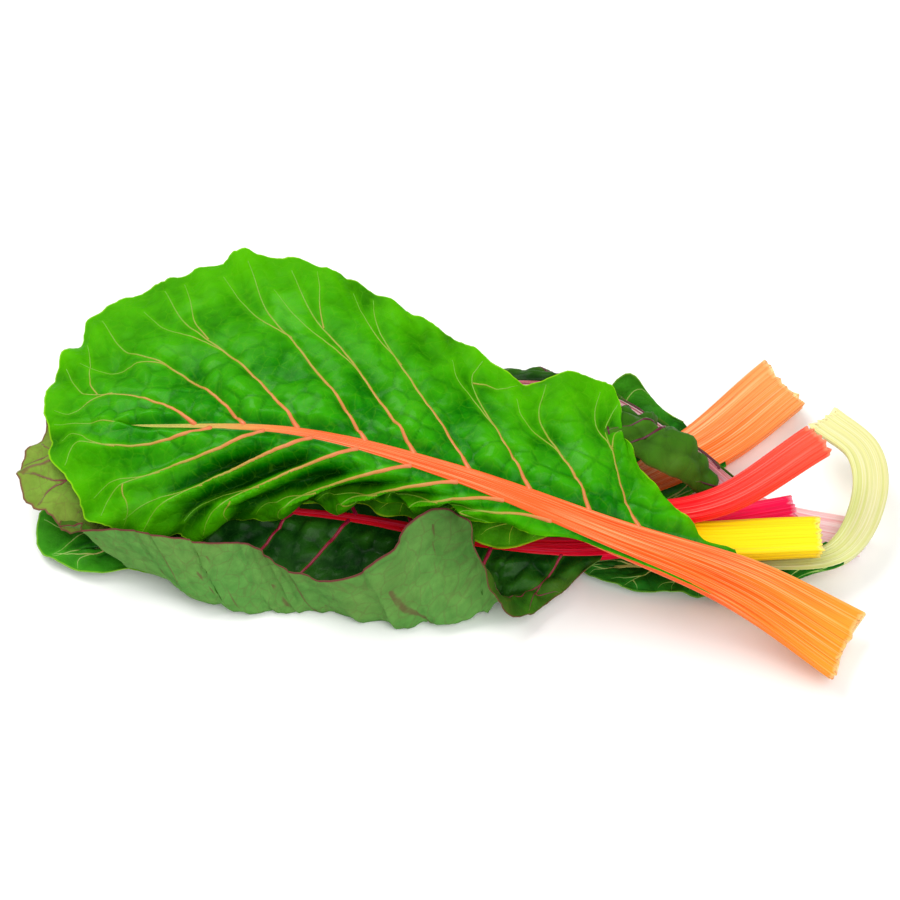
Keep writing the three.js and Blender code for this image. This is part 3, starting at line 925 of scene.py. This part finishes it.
def tube_faces(rings, sides):
    """Faces between rings, and for each of their corners the share of the turn and the ring."""
    ring, turn = np.meshgrid(np.arange(rings - 1), np.arange(sides), indexing="ij")
    at_ring = np.stack([ring, ring, ring + 1, ring + 1], -1)
    at_turn = np.stack([turn, turn + 1, turn + 1, turn], -1)
    faces = (at_ring * sides + at_turn % sides).reshape(-1, 4).tolist()
    return faces, at_turn.ravel() / sides, at_ring.ravel()


# %% A blade as a thin sheet with two sides
HALF_THICK_AT_RIB = 0.42
HALF_THICK_AT_MARGIN = 0.24
ATLAS_MIDDLE = 0.002  # half the strip between the two sides on the map
ATLAS_SIDE = 0.49  # height of a side on the map
ATLAS_RIM = (0.996, 0.999)  # the strip that holds the rim


def border(rows, columns):
    """The points round the edge of a grid, in order."""
    down = [(i, 0) for i in range(rows - 1)]
    right = [(rows - 1, j) for j in range(columns - 1)]
    back_up = [(i, columns - 1) for i in range(rows - 1, 0, -1)]
    return down + right + back_up + [(0, j) for j in range(columns - 1, 0, -1)]


def sheet_of(blade):
    """Points, faces and the map of the sheet's upper side, under side and rim."""
    rows, columns = blade.rise.shape
    count = rows * columns
    half_thick = HALF_THICK_AT_RIB + (HALF_THICK_AT_MARGIN - HALF_THICK_AT_RIB) * blade.out
    offset = blade.normals() * half_thick[None, :, None]
    both = blade.points + offset, blade.points - offset
    points = np.vstack([side.reshape(-1, 3) for side in both])
    upper = grid_faces(rows, columns)[:, ::-1]
    lower = upper[:, ::-1] + count
    x, y = np.meshgrid(np.linspace(0, 1, rows), 1 - blade.out, indexing="ij")
    above_middle = ATLAS_MIDDLE + ATLAS_SIDE * y
    maps = [np.stack([x, 0.5 + way * above_middle], -1).reshape(-1, 2) for way in (1, -1)]
    whole_map = np.vstack(maps)
    faces = np.vstack([upper, lower])
    atlas = [whole_map[faces].reshape(-1, 2)]
    rim, edge = [], border(rows, columns)
    for k, (i, j) in enumerate(edge):
        i2, j2 = edge[(k + 1) % len(edge)]
        a, b = i * columns + j, i2 * columns + j2
        rim.append([a, a + count, b + count, b])
        if j == j2 == columns - 1:
            atlas.append(whole_map[rim[-1]])
        else:
            near, far = k / len(edge), (k + 1) / len(edge)
            low, high = ATLAS_RIM
            atlas.append(np.array([[near, high], [near, low], [far, low], [far, high]]))
    return points, np.vstack([faces, rim]).tolist(), np.vstack(atlas)


# %% A vein as a tapering cord of flesh
VEIN_SIDES = 8
VEIN_STEP = 1.75  # mm between the rings of a vein
FORK_THICKNESS = 0.42
ABOVE_SHEET = 0.25  # mm between the sheet's middle and the middle of a vein
ROOT_DEPTH = 1.2  # mm below the midrib's widest line at which a vein starts
VEIN_HEIGHT = 0.85  # of its width
SHORTEST_VEIN = 4  # mm
ATLAS_SHELF = 1.15  # each vein lies this much further up the map
PLAIN_BLADE = np.array([250.0, 100.0])  # mm along and across a plain blade, to space a vein's dots


def vein_path(stops):
    """Shares of the midrib and of the way out along one vein, closely spaced."""
    stops = np.array(stops) * PLAIN_BLADE
    line = Line(np.column_stack([stops, np.zeros(len(stops))]))
    dots = line.at(np.linspace(0, 1, max(int(line.length / VEIN_STEP), 6)))[:, :2] / PLAIN_BLADE
    return dots[:, 0], np.clip(dots[:, 1], 0, 1)


def vein_cord(path, up, radii):
    ahead = unit(np.gradient(path, axis=0))
    side = unit(np.cross(up, ahead))
    lift = np.cross(ahead, side)
    turns = 2 * math.pi * np.arange(VEIN_SIDES) / VEIN_SIDES
    across, above = np.cos(turns)[:, None], np.sin(turns)[:, None] * VEIN_HEIGHT
    ring = side[:, None] * across + lift[:, None] * above
    points = (path[:, None] + ring * radii[:, None, None]).reshape(-1, 3)
    faces, turn, at_ring = tube_faces(len(path), VEIN_SIDES)
    atlas = np.stack([at_ring, turn], -1).tolist()
    for first, flip in ((0, True), ((len(path) - 1) * VEIN_SIDES, False)):
        cap = [first + k for k in range(VEIN_SIDES)]
        faces.append(cap[::-1] if flip else cap)
        atlas += [(first / VEIN_SIDES, k / VEIN_SIDES) for k in range(VEIN_SIDES)]
    return points, faces, np.array(atlas, float)


# %% All the veins of a leaf
def grow_veins(blade, thickness):
    """One mesh for all the veins of a blade, and their lines on its flat plan."""
    points, faces, atlas, run, lines = [], [], [], [], []
    leaf, normals = blade.leaf, blade.normals()
    start, shelf = 0, 0
    for sign, side in ((1, "front"), (-1, "rear")):
        veins = veins_of(blade.leaf, side)
        for kind in ("main", "forks"):
            for stops in veins[kind]:
                shares, outs = vein_path(stops)
                up = unit(blade.sample(normals, sign, shares, outs))
                path = blade.sample(blade.points, sign, shares, outs) + up * ABOVE_SHEET
                if outs[0] == 0:
                    rib_share = leaf["blade_from"] + (1 - leaf["blade_from"]) * shares[:1]
                    middle, _, _, lift = leaf["line"].frame(rib_share)
                    middle = (middle + leaf["seat"] - ROOT_DEPTH * lift)[0]
                    path = np.vstack([(middle + path[0]) / 2, middle * 0.2 + path[0] * 0.8, path])
                    up = np.vstack([up[:1], up[:1], up])
                strides = np.linalg.norm(np.diff(path, axis=0), axis=1)
                gone = np.concatenate([[0], np.cumsum(strides)])
                if gone[-1] < SHORTEST_VEIN:
                    continue
                along_vein = gone / gone[-1]
                size = thickness * min(1.0, 0.35 + gone[-1] / 90)
                radii = size * (0.24 + 0.76 * (1 - along_vein) ** 1.3)
                if kind == "forks":
                    radii = thickness * FORK_THICKNESS * (1 - 0.65 * along_vein)
                else:
                    radii = radii * (1 + 0.2 * np.exp(-gone / 7))
                cord = vein_cord(path, up, radii)
                points.append(cord[0])
                faces += [[start + v for v in face] for face in cord[1]]
                atlas.append(cord[2] + [0, shelf])
                strength = along_vein if kind == "main" else 0.55 + 0.45 * along_vein
                run.append(np.repeat(strength, VEIN_SIDES))
                lines.append(blade.sample(blade.plan, sign, shares, outs))
                start += len(cord[0])
                shelf += ATLAS_SHELF
    atlas = np.vstack(atlas)
    return np.vstack(points), faces, atlas / atlas.max(0), np.concatenate(run), lines


def vein_distance(blade, lines):
    """How far each point of the flat plan is from the nearest vein, in mm."""
    dots = np.vstack(lines)[None]
    return np.array([np.linalg.norm(row[:, None] - dots, axis=-1).min(1) for row in blade.plan])


# %% [markdown]
# ## The stalks
#
# A stalk could be a plain tapered bar, but the real one is a bundle of stiff strings: fine ridges
# run its whole length, its flat face dips into a channel, and the knife leaves a slanting,
# slightly torn cut with a paler, softer middle. So its rings carry ridges, and a few more rings
# close over the cut.

# %% A ribbed bar with a cut end
TURNS = 112
CLOSE_RUN, CLOSE_RINGS = 14, 18  # mm behind the cut, and the rings on it
RING_STEP = 2.6  # mm between the other rings
STRINGS = ((4.3, 0.8), (2.7, 1.0), (1.9, 0.5))  # mm between strings, and their weight
# the rings that close the cut, as shares of its rim
CUT_SHRINK = np.array([0.985, 0.95, 0.88, 0.76, 0.62, 0.48, 0.34, 0.2, 0.08])
END_FADE = 9.0  # mm over which the slant of the cut fades out
LOWEST_CUT = 0.1  # mm above the floor
TIP_REACH = 0.6  # mm that the point of the midrib runs past its last ring

# shear of the cut per half width: across the stalk, then from back to face, in mm
CUT_SLANT = {"orange": (1.5, 1.0), "peach": (5.0, -1.0), "magenta": (-1.0, 0.6), "red": (1.5, 0.5)}


def stalk_stations(length):
    """Shares of the length at which a stalk has a ring, closer together near the cut."""
    near = np.linspace(0, CLOSE_RUN, CLOSE_RINGS) / length
    rest = np.linspace(CLOSE_RUN / length, 1, max(int((length - CLOSE_RUN) / RING_STEP), 30))
    return np.concatenate([near[:-1], rest])


def ridge_height(girth, run, whole, seed):
    """Strings under the skin: waves round the stalk that wander a little along it."""
    dice = np.random.default_rng(seed)
    total = 0
    for spacing, weight in STRINGS:
        count = max(round(whole / spacing), 3)
        wander = 0.5 * np.sin(run / 40 + dice.uniform(0, 6)) + dice.uniform(0, 6)
        wave = np.abs(np.sin(math.pi * count * girth / whole + wander))
        total = total + weight * (wave - 0.63)
    return total


def grow_stalk(leaf, seed):
    turns = 2 * math.pi * (np.arange(TURNS) + 0.5) / TURNS
    length = leaf["line"].length
    shares = stalk_stations(length)
    rings, ahead = stalk_rings(leaf, shares, turns)
    run = shares * length
    around = np.roll(rings, -1, axis=1) - np.roll(rings, 1, axis=1)
    outward = unit(np.cross(around, ahead[:, None]))
    widest = rings[6]
    girth = np.cumsum(np.linalg.norm(widest - np.roll(widest, 1, axis=0), axis=1))
    width = along(leaf["stalk"], shares)[:, 0]
    ridge = ridge_height(girth[None], run[:, None], girth[-1], seed)
    strength = 0.34 * np.clip(width / 26, 0.12, 1.3)
    rings = rings + outward * (ridge * strength[:, None])[..., None]
    across_slant, face_slant = CUT_SLANT.get(leaf["name"], (0.5, 0.5))
    dice = np.random.default_rng(seed + 40)
    waves = (2, 3, 5, 8, 13, 21)
    ragged = sum(dice.uniform(0.2, 0.5) * np.sin(n * turns + dice.uniform(0, 6)) for n in waves)
    slant = across_slant * np.cos(turns) + face_slant * np.sin(turns) + 1.1 * ragged
    fade = np.exp(-run / END_FADE)[:, None]
    rings = rings + ahead[:, None] * (slant[None] * fade)[..., None]
    return rings + leaf["seat"], ahead, ridge, girth, run, turns


# %% Closing the cut
def close_cut(rings, ahead, seed):
    """Rings that run from the rim of the cut to its middle, dished and lumpy."""
    dice = np.random.default_rng(seed)
    rim, centre = rings[0], rings[0].mean(0)
    lumps = dice.uniform(-1, 1, (len(CUT_SHRINK), TURNS))
    lumps = (lumps + np.roll(lumps, 1, 1) + np.roll(lumps, 2, 1) + np.roll(lumps, 3, 1)) / 4
    dish = -0.25 + 1.5 * (1 - CUT_SHRINK)
    inward = dish[:, None] * 0.8 + 0.35 * lumps * (1 - CUT_SHRINK[:, None]) ** 0.5
    return centre + (rim - centre) * CUT_SHRINK[:, None, None] + ahead[0] * inward[..., None]


# %% The stalk's mesh
def stalk_mesh(leaf, seed):
    rings, ahead, ridge, girth, run, turns = grow_stalk(leaf, seed)
    cut = close_cut(rings, ahead, seed + 7)
    rings[..., 2] = np.maximum(rings[..., 2], 0)
    cut[..., 2] = np.maximum(cut[..., 2], LOWEST_CUT)
    grid = np.concatenate([cut[::-1], rings])
    rows = len(grid)
    middle, tip = cut[-1].mean(0), rings[-1].mean(0) + ahead[-1] * TIP_REACH
    points = np.vstack([grid.reshape(-1, 3), middle, tip])
    faces, turn, at_ring = tube_faces(rows, TURNS)
    atlas = np.stack([turn, np.linspace(0.04, 0.99, rows)[at_ring]], -1).tolist()
    last = (rows - 1) * TURNS
    for k in range(TURNS):
        k2 = (k + 1) % TURNS
        faces.append([len(points) - 2, k2, k])
        faces.append([len(points) - 1, last + k, last + k2])
        x, x2 = k / TURNS, (k + 1) / TURNS
        atlas += [(x, 0.005), (x2, 0.035), (x, 0.035), (x, 0.999), (x, 0.991), (x2, 0.991)]
    run_all = np.concatenate([np.zeros(len(cut)), run])
    is_cut = np.concatenate([np.ones(len(cut)), np.zeros(len(rings))])
    radial = np.concatenate([CUT_SHRINK[::-1], np.ones(len(rings))])
    skin = np.zeros((rows, TURNS, 3))
    skin[..., 0] = girth[None] * radial[:, None]
    skin[..., 1] = run_all[:, None]
    groove = np.concatenate([np.zeros((len(cut), TURNS)), ridge])

    def spread_out(values, ends):
        return np.concatenate([np.broadcast_to(values, (rows, TURNS)).ravel(), ends])

    values = {
        "skin_mm": np.vstack([skin.reshape(-1, 3), [[0, 0, 0]], skin[-1, :1]]),
        "run_mm": spread_out(run_all[:, None], [0, run[-1]]),
        "share": spread_out(run_all[:, None] / run[-1], [0, 1]),
        "cut": spread_out(is_cut[:, None], [1, 0]),
        "radial": spread_out(radial[:, None], [0, 1]),
        "aside": spread_out(np.cos(turns)[None], [0, 0]),
        "groove": spread_out(groove, [0, 0]),
    }
    return points, faces, np.array(atlas), values


# %% [markdown]
# ## The finish of a stalk
#
# Chard stalks are strongly coloured all through. The skin is glossy, with light strings on the
# ridges and deeper colour in the grooves, one flank is often paler than the other, and the colour
# changes again where the stalk becomes the midrib. The cut shows pale wet flesh with small brown
# dots where the strings end.

# %% Colours of the stalks
# colours of the parts, then the shares over which the stalk turns into the rib and thins out
STALK_PARTS = "skin groove string flank end rib tip flesh turn thin".split()
STALK_LOOKS = {
    "orange": [
        (255, 112, 34), (230, 62, 10), (255, 186, 136), (255, 144, 84), (255, 172, 50),
        (248, 98, 42), (196, 190, 92), (248, 222, 160), (0.2, 0.45), (0.72, 0.97),
    ],
    "peach": [
        (250, 126, 56), (240, 92, 20), (255, 196, 150), (250, 186, 128), (250, 164, 92),
        (240, 132, 84), (180, 180, 110), (244, 214, 150), (0.2, 0.5), (0.7, 1.0),
    ],
    "magenta": [
        (255, 4, 60), (230, 0, 44), (255, 80, 124), (255, 14, 80), (250, 34, 100), (250, 10, 24),
        (150, 20, 60), (250, 190, 214), (0.3, 0.42), (0.8, 1.0),
    ],
    "pale_pink": [
        (246, 208, 214), (232, 134, 140), (255, 236, 238), (240, 160, 150), (248, 224, 226),
        (128, 22, 44), (110, 30, 50), (252, 236, 230), (0.16, 0.26), (0.8, 1.0),
    ],
    "yellow": [
        (246, 208, 0), (240, 192, 0), (250, 218, 12), (250, 214, 4), (253, 230, 40),
        (226, 214, 50), (196, 210, 80), (252, 240, 150), (0.3, 0.5), (0.7, 1.0),
    ],
    "red": [
        (250, 26, 30), (214, 0, 10), (255, 116, 106), (252, 46, 66), (255, 96, 66), (216, 16, 40),
        (150, 30, 50), (252, 170, 130), (0.3, 0.5), (0.8, 1.0),
    ],
    "cream": [
        (212, 208, 156), (196, 200, 118), (232, 230, 200), (206, 222, 134), (228, 222, 158),
        (214, 228, 150), (190, 214, 120), (240, 232, 170), (0.35, 0.6), (0.7, 1.0),
    ],
}
BROWN = paint(150, 96, 40)
PALE_FLANK = {"red": 0.9}  # which flank is paler; the others' is the rear one


# %% Stalk finish
def stalk_finish(name):
    look = look_of(STALK_PARTS, STALK_LOOKS[name])
    f = Finish(name + "_stalk_skin")
    skin, share = f.read("skin_mm", vector=True), f.read("share")
    run, aside, groove = f.read("run_mm"), f.read("aside"), f.read("groove")
    cut, radial = f.read("cut"), f.read("radial")
    strings = f.noise(f.scaled(skin, (0.62, 0.012, 1)), 1.0, detail=4)
    bands = f.noise(f.scaled(skin, (0.16, 0.008, 1)), 1.0, detail=2)
    fine = f.noise(f.scaled(skin, (1.7, 0.05, 1)), 1.0, detail=2)
    threads = f.noise(f.scaled(skin, (1.25, 0.006, 1)), 1.0, detail=2)
    flank = (aside * PALE_FLANK.get(name, -0.9) + bands * 3 - 1.5).clipped()
    rib = f.layered(
        look.rib,
        (look.string, strings.step(0.5, 0.7) * 0.6),
        (look.groove, strings.step(0.48, 0.34) * 0.5),
    )
    freckle = f.cells(f.scaled(skin, (0.3, 0.08, 1)), 1.0, "F1").step(0.2, 0.08)
    freckle = freckle * f.noise(skin, 0.05).step(0.55, 0.7) * run.step(90, 40)
    dots = f.cells(f.scaled(skin, (0.5, 1, 1)), 1.0, "F1").step(0.34, 0.16) * radial.step(0.62, 0.8)
    flesh = f.layered(
        look.flesh,
        (look.string, f.noise(skin, 0.5, detail=3).step(0.45, 0.75)),
        (look.skin, radial.step(0.86, 1.0) * 0.7),
        (BROWN, dots * 0.7),
    )
    scar = f.noise(f.scaled(skin, (0.5, 0.5, 1)), 1.0, detail=3).step(0.52, 0.62)
    colour = f.layered(
        look.skin,
        (look.flank, flank),
        (look.groove, strings.step(0.6, 0.38) * 0.75),
        (look.string, strings.step(0.53, 0.72) * 0.8),
        (look.string, groove.step(0.2, 0.9) * fine.step(0.45, 0.7) * 0.45),
        (look.groove, groove.step(-0.25, -1.0) * 0.5),
        (look.end, (1 - run / 70).clipped() * 0.7),
        (rib, share.step(*look.turn)),
        (look.groove, threads.step(0.46, 0.36) * 0.6),
        (look.string, threads.step(0.56, 0.66) * 0.55),
        (look.tip, share.step(*look.thin)),
        (BROWN, freckle * 0.35),
        (flesh, cut),
        (look.flesh, (1 - run / 2.2).clipped() * (1 - cut) * 0.5),
        (BROWN, scar * (1 - run / 3.5).clipped() * (1 - cut * 0.6) * 0.6),
    )
    height = strings * 0.35 + fine * 0.16 + f.noise(skin, 0.35, detail=4) * 0.12
    return f.done(
        Base_Color=colour,
        Roughness=0.34 + fine * 0.16 + cut * 0.1,
        Normal=f.relief(height),
        Coat_Weight=0.14 - cut * 0.06,
        Coat_Roughness=0.18,
        Specular_IOR_Level=0.05,
    )


# %% [markdown]
# ## The finish of a blade
#
# The upper side is glossy and deep green, paler towards the margin, with a thin pale line along the
# very edge and a faint net of the finest veins. On it light and shade are painted as well: painted
# light where the sheet is raised, on the crowns of the pillows, and painted shade in the creases
# and dips. The under side is matte and greyer. Some leaves carry purple in their margins and veins,
# and have brownish stains.

# %% Colours of the blades
# colours of the parts, then how much of the blade is stained
# deep, and deep darkened, are also painted shade in the creases and dips; mid and light are partly
# painted light on the crowns
BLADE_PARTS = "deep mid light edge net under under_deep vein vein_end stain stained".split()
BLADE_LOOKS = {
    "orange": [
        (4, 86, 0), (22, 140, 0), (80, 170, 0), (150, 206, 30), (100, 170, 20), (112, 158, 78),
        (80, 128, 58), (214, 112, 66), (106, 160, 30), (120, 150, 20), 0.0,
    ],
    "peach": [
        (8, 70, 10), (24, 116, 16), (72, 168, 30), (140, 190, 60), (84, 160, 50), (104, 150, 84),
        (70, 118, 60), (226, 150, 100), (150, 186, 90), (90, 90, 30), 0.1,
    ],
    "magenta": [
        (8, 44, 10), (24, 82, 14), (64, 124, 24), (108, 52, 54), (60, 110, 44), (104, 162, 76),
        (64, 116, 50), (168, 10, 56), (96, 46, 52), (96, 60, 44), 0.45,
    ],
    "pale_pink": [
        (8, 34, 6), (32, 84, 12), (70, 126, 26), (90, 76, 36), (48, 70, 30), (86, 122, 70),
        (64, 96, 56), (96, 12, 36), (78, 20, 38), (90, 40, 40), 0.35,
    ],
    "yellow": [
        (10, 76, 4), (34, 128, 6), (88, 172, 16), (176, 206, 36), (110, 180, 40), (120, 170, 80),
        (90, 140, 60), (214, 214, 40), (168, 206, 50), (150, 160, 30), 0.0,
    ],
    "red": [
        (10, 60, 12), (26, 98, 16), (70, 140, 30), (116, 80, 60), (60, 110, 40), (134, 172, 66),
        (92, 126, 40), (196, 24, 50), (110, 60, 60), (110, 74, 44), 0.7,
    ],
    "cream": [
        (6, 62, 12), (18, 96, 20), (46, 138, 34), (120, 180, 70), (70, 140, 50), (90, 150, 80),
        (60, 120, 60), (190, 216, 120), (120, 180, 80), (80, 100, 30), 0.0,
    ],
}


# %% Blade finish
def blade_finish(name):
    look = look_of(BLADE_PARTS, BLADE_LOOKS[name])
    # the deep green darkened: painted shade for the dips and pleats of the sheet
    dip_shade = tuple(0.35 * share for share in look.deep)
    f = Finish(name + "_leaf")
    plan, out = f.read("plan_mm", vector=True), f.read("out")
    rim, vein, rise = f.read("rim_mm"), f.read("vein_mm"), f.read("rise_mm")
    crease, under = f.read("crease_mm"), f.read("under")
    clouds = f.noise(plan, 0.035, detail=3)
    mottle = f.noise(plan, 0.16, detail=4)
    grain = f.noise(plan, 1.1, detail=3)
    warp = f.add(
        "ShaderNodeVectorMath",
        {"operation": "MULTIPLY_ADD"},
        {0: f.noise(plan, 0.12, output=1), 1: (5, 5, 0), 2: plan},
    )
    net, fine_net = f.cells(warp, 0.15), f.cells(warp, 0.42)
    net_line, fine_line = net.step(0.055, 0.012), fine_net.step(0.09, 0.02)
    stains = (clouds * 1.6 + out * 0.7 - 1.1).clipped() * look.stained
    upper = f.layered(
        look.deep,
        # mid and light green follow random tone and the margin, and through rise they are painted
        # light on the raised crowns of the pillows, leaving the dips deep green
        (look.mid, (rise * 0.1 + clouds * 1.6 + mottle * 1.1 - 1.0).clipped()),
        (look.light, (out**1.6 * 0.6 + clouds * 0.9 + rise * 0.05 - 0.5).clipped()),
        # painted shade in the creases between the pillows, fading towards the margin
        (look.deep, crease.step(2.4, 0.2) * (1 - out) * 0.5),
        # painted shade where the sheet dips below its plain fan, deepest in the pleats
        (dip_shade, rise.step(-0.5, -5.0) * 0.8),
        (look.net, (net_line * 0.14 + fine_line * 0.05) * mottle.step(0.3, 0.6)),
        (look.light, vein.step(2.6, 0.6) * 0.35),
        (look.stain, stains),
        (look.edge, rim.step(1.1, 0.3) * 0.6),
    )
    back = f.layered(
        look.under_deep,
        (look.under, (mottle * 1.2 + clouds * 0.8 - 0.5).clipped()),
        (look.vein_end, net_line * 0.18 + fine_line * 0.06),
        (look.vein_end, vein.step(1.0, 0.4) * 0.6),
        (look.stain, stains * 0.8),
        (look.edge, rim.step(1.5, 0.4)),
    )
    dome = (net * 3).clipped() ** 0.6
    small_dome = (fine_net * 3).clipped() ** 0.6
    height = dome * 0.24 + small_dome * 0.1 + grain * 0.06
    height = height * (1 - under * 0.45) + fine_line * under * 0.06
    return f.done(
        Base_Color=f.mix(upper, back, under),
        Roughness=0.42 + mottle * 0.14 + under * 0.2,
        Normal=f.relief(height, 0.8),
        Coat_Weight=(clouds * 0.4 - 0.05 - out * 0.2 - under * 0.3).clipped(),
        Coat_Roughness=0.2,
        Specular_IOR_Level=0.02,
    )


# %% Vein finish
def vein_finish(name):
    look = look_of(BLADE_PARTS, BLADE_LOOKS[name])
    f = Finish(name + "_vein_skin")
    place = f.scaled(f.add("ShaderNodeTexCoord", output=3), (1000, 1000, 1000))
    run, mottle = f.read("run"), f.noise(place, 0.3, detail=3)
    colour = f.layered(
        look.vein,
        (look.vein_end, (run * 1.25 + mottle * 0.3 - 0.15).clipped()),
        (look.light, run.step(0.86, 1.0) * 0.6),
    )
    return f.done(
        Base_Color=colour,
        Roughness=0.36 + mottle * 0.1,
        Normal=f.relief(f.noise(place, 1.2) * 0.12),
        Specular_IOR_Level=0.4,
    )


# %% [markdown]
# ## Growing the bunch
#
# The big orange leaf on top is seen from close by, so it gets the finest grid; the leaves under
# it get fewer rays. Each stands for the solid of the same name.

# %% Every leaf in turn
GRIDS = {"orange": (500, 90)}
OTHER_GRID = (300, 56)
VEIN_THICKNESS = {"orange": 1.2, "magenta": 1.05, "pale_pink": 2.1, "peach": 1.1, "yellow": 0.8}
OTHER_THICKNESS = 0.9
LOWEST_SHEET = 0.05  # mm left under the thickest sheet
LOWEST_POINT = 0.02  # mm above the floor

for number, leaf in enumerate(LEAVES):
    name = leaf["name"]
    blade = shape_blade(Blade(leaf, *GRIDS.get(name, OTHER_GRID)), seed=11 + 7 * number)
    rows, columns = blade.rise.shape
    blade.points[..., 2] = np.maximum(blade.points[..., 2], HALF_THICK_AT_RIB + LOWEST_SHEET)
    *veins, lines = grow_veins(blade, VEIN_THICKNESS.get(name, OTHER_THICKNESS))
    points, faces, atlas = sheet_of(blade)
    points[:, 2] = np.maximum(points[:, 2], LOWEST_POINT)
    under = np.repeat([0.0, 1.0], rows * columns)
    if leaf.get("face_down"):
        under = 1 - under

    def both_sides(grid):
        return np.tile(np.broadcast_to(grid, (rows, columns)).ravel(), 2)

    plan = np.dstack([blade.plan, np.zeros((rows, columns))]).reshape(-1, 3)
    narrow = 3.0 * (blade.length < 8)[:, None]  # a sliver has no pale edge
    values = {
        "plan_mm": np.vstack([plan, plan]),
        "out": both_sides(blade.out),
        "rim_mm": both_sides((1 - blade.out)[None] * blade.length[:, None] + narrow),
        "vein_mm": both_sides(vein_distance(blade, lines)),
        "rise_mm": both_sides(blade.rise),
        "crease_mm": both_sides(blade.crease),
        "under": under,
    }
    node = name + "_blade"
    make_piece(name + "_blade_sheet", points, faces, blade_finish(name), values, atlas, node)
    points, faces, atlas, run = veins
    points[:, 2] = np.maximum(points[:, 2], LOWEST_POINT)
    make_piece(name + "_veins", points, faces, vein_finish(name), {"run": run}, atlas, node)
    points, faces, atlas, values = stalk_mesh(leaf, seed=90 + number)
    node = name + "_stalk"
    make_piece(name + "_stalk_flesh", points, faces, stalk_finish(name), values, atlas, node)
    print(name, "leaf: blade", rows, "x", columns, "and", len(lines), "veins")

# %% [markdown]
# ## The size of the result
#
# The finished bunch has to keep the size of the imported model, so both boxes are written down.

# %% Compare the two boxes and finish
dressed_box = [list(corner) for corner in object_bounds()]
for axis, *ends in zip("xyz", *CAD_BOX, *dressed_box):
    low, high, low2, high2 = (round(end / MM, 1) for end in ends)
    print(f"{axis}: model {low} to {high} mm, dressed {low2} to {high2} mm")
triangles = 0
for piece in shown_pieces():
    if piece.type == "MESH":
        triangles += sum(len(face.vertices) - 2 for face in piece.data.polygons)
print(triangles, "triangles in all")
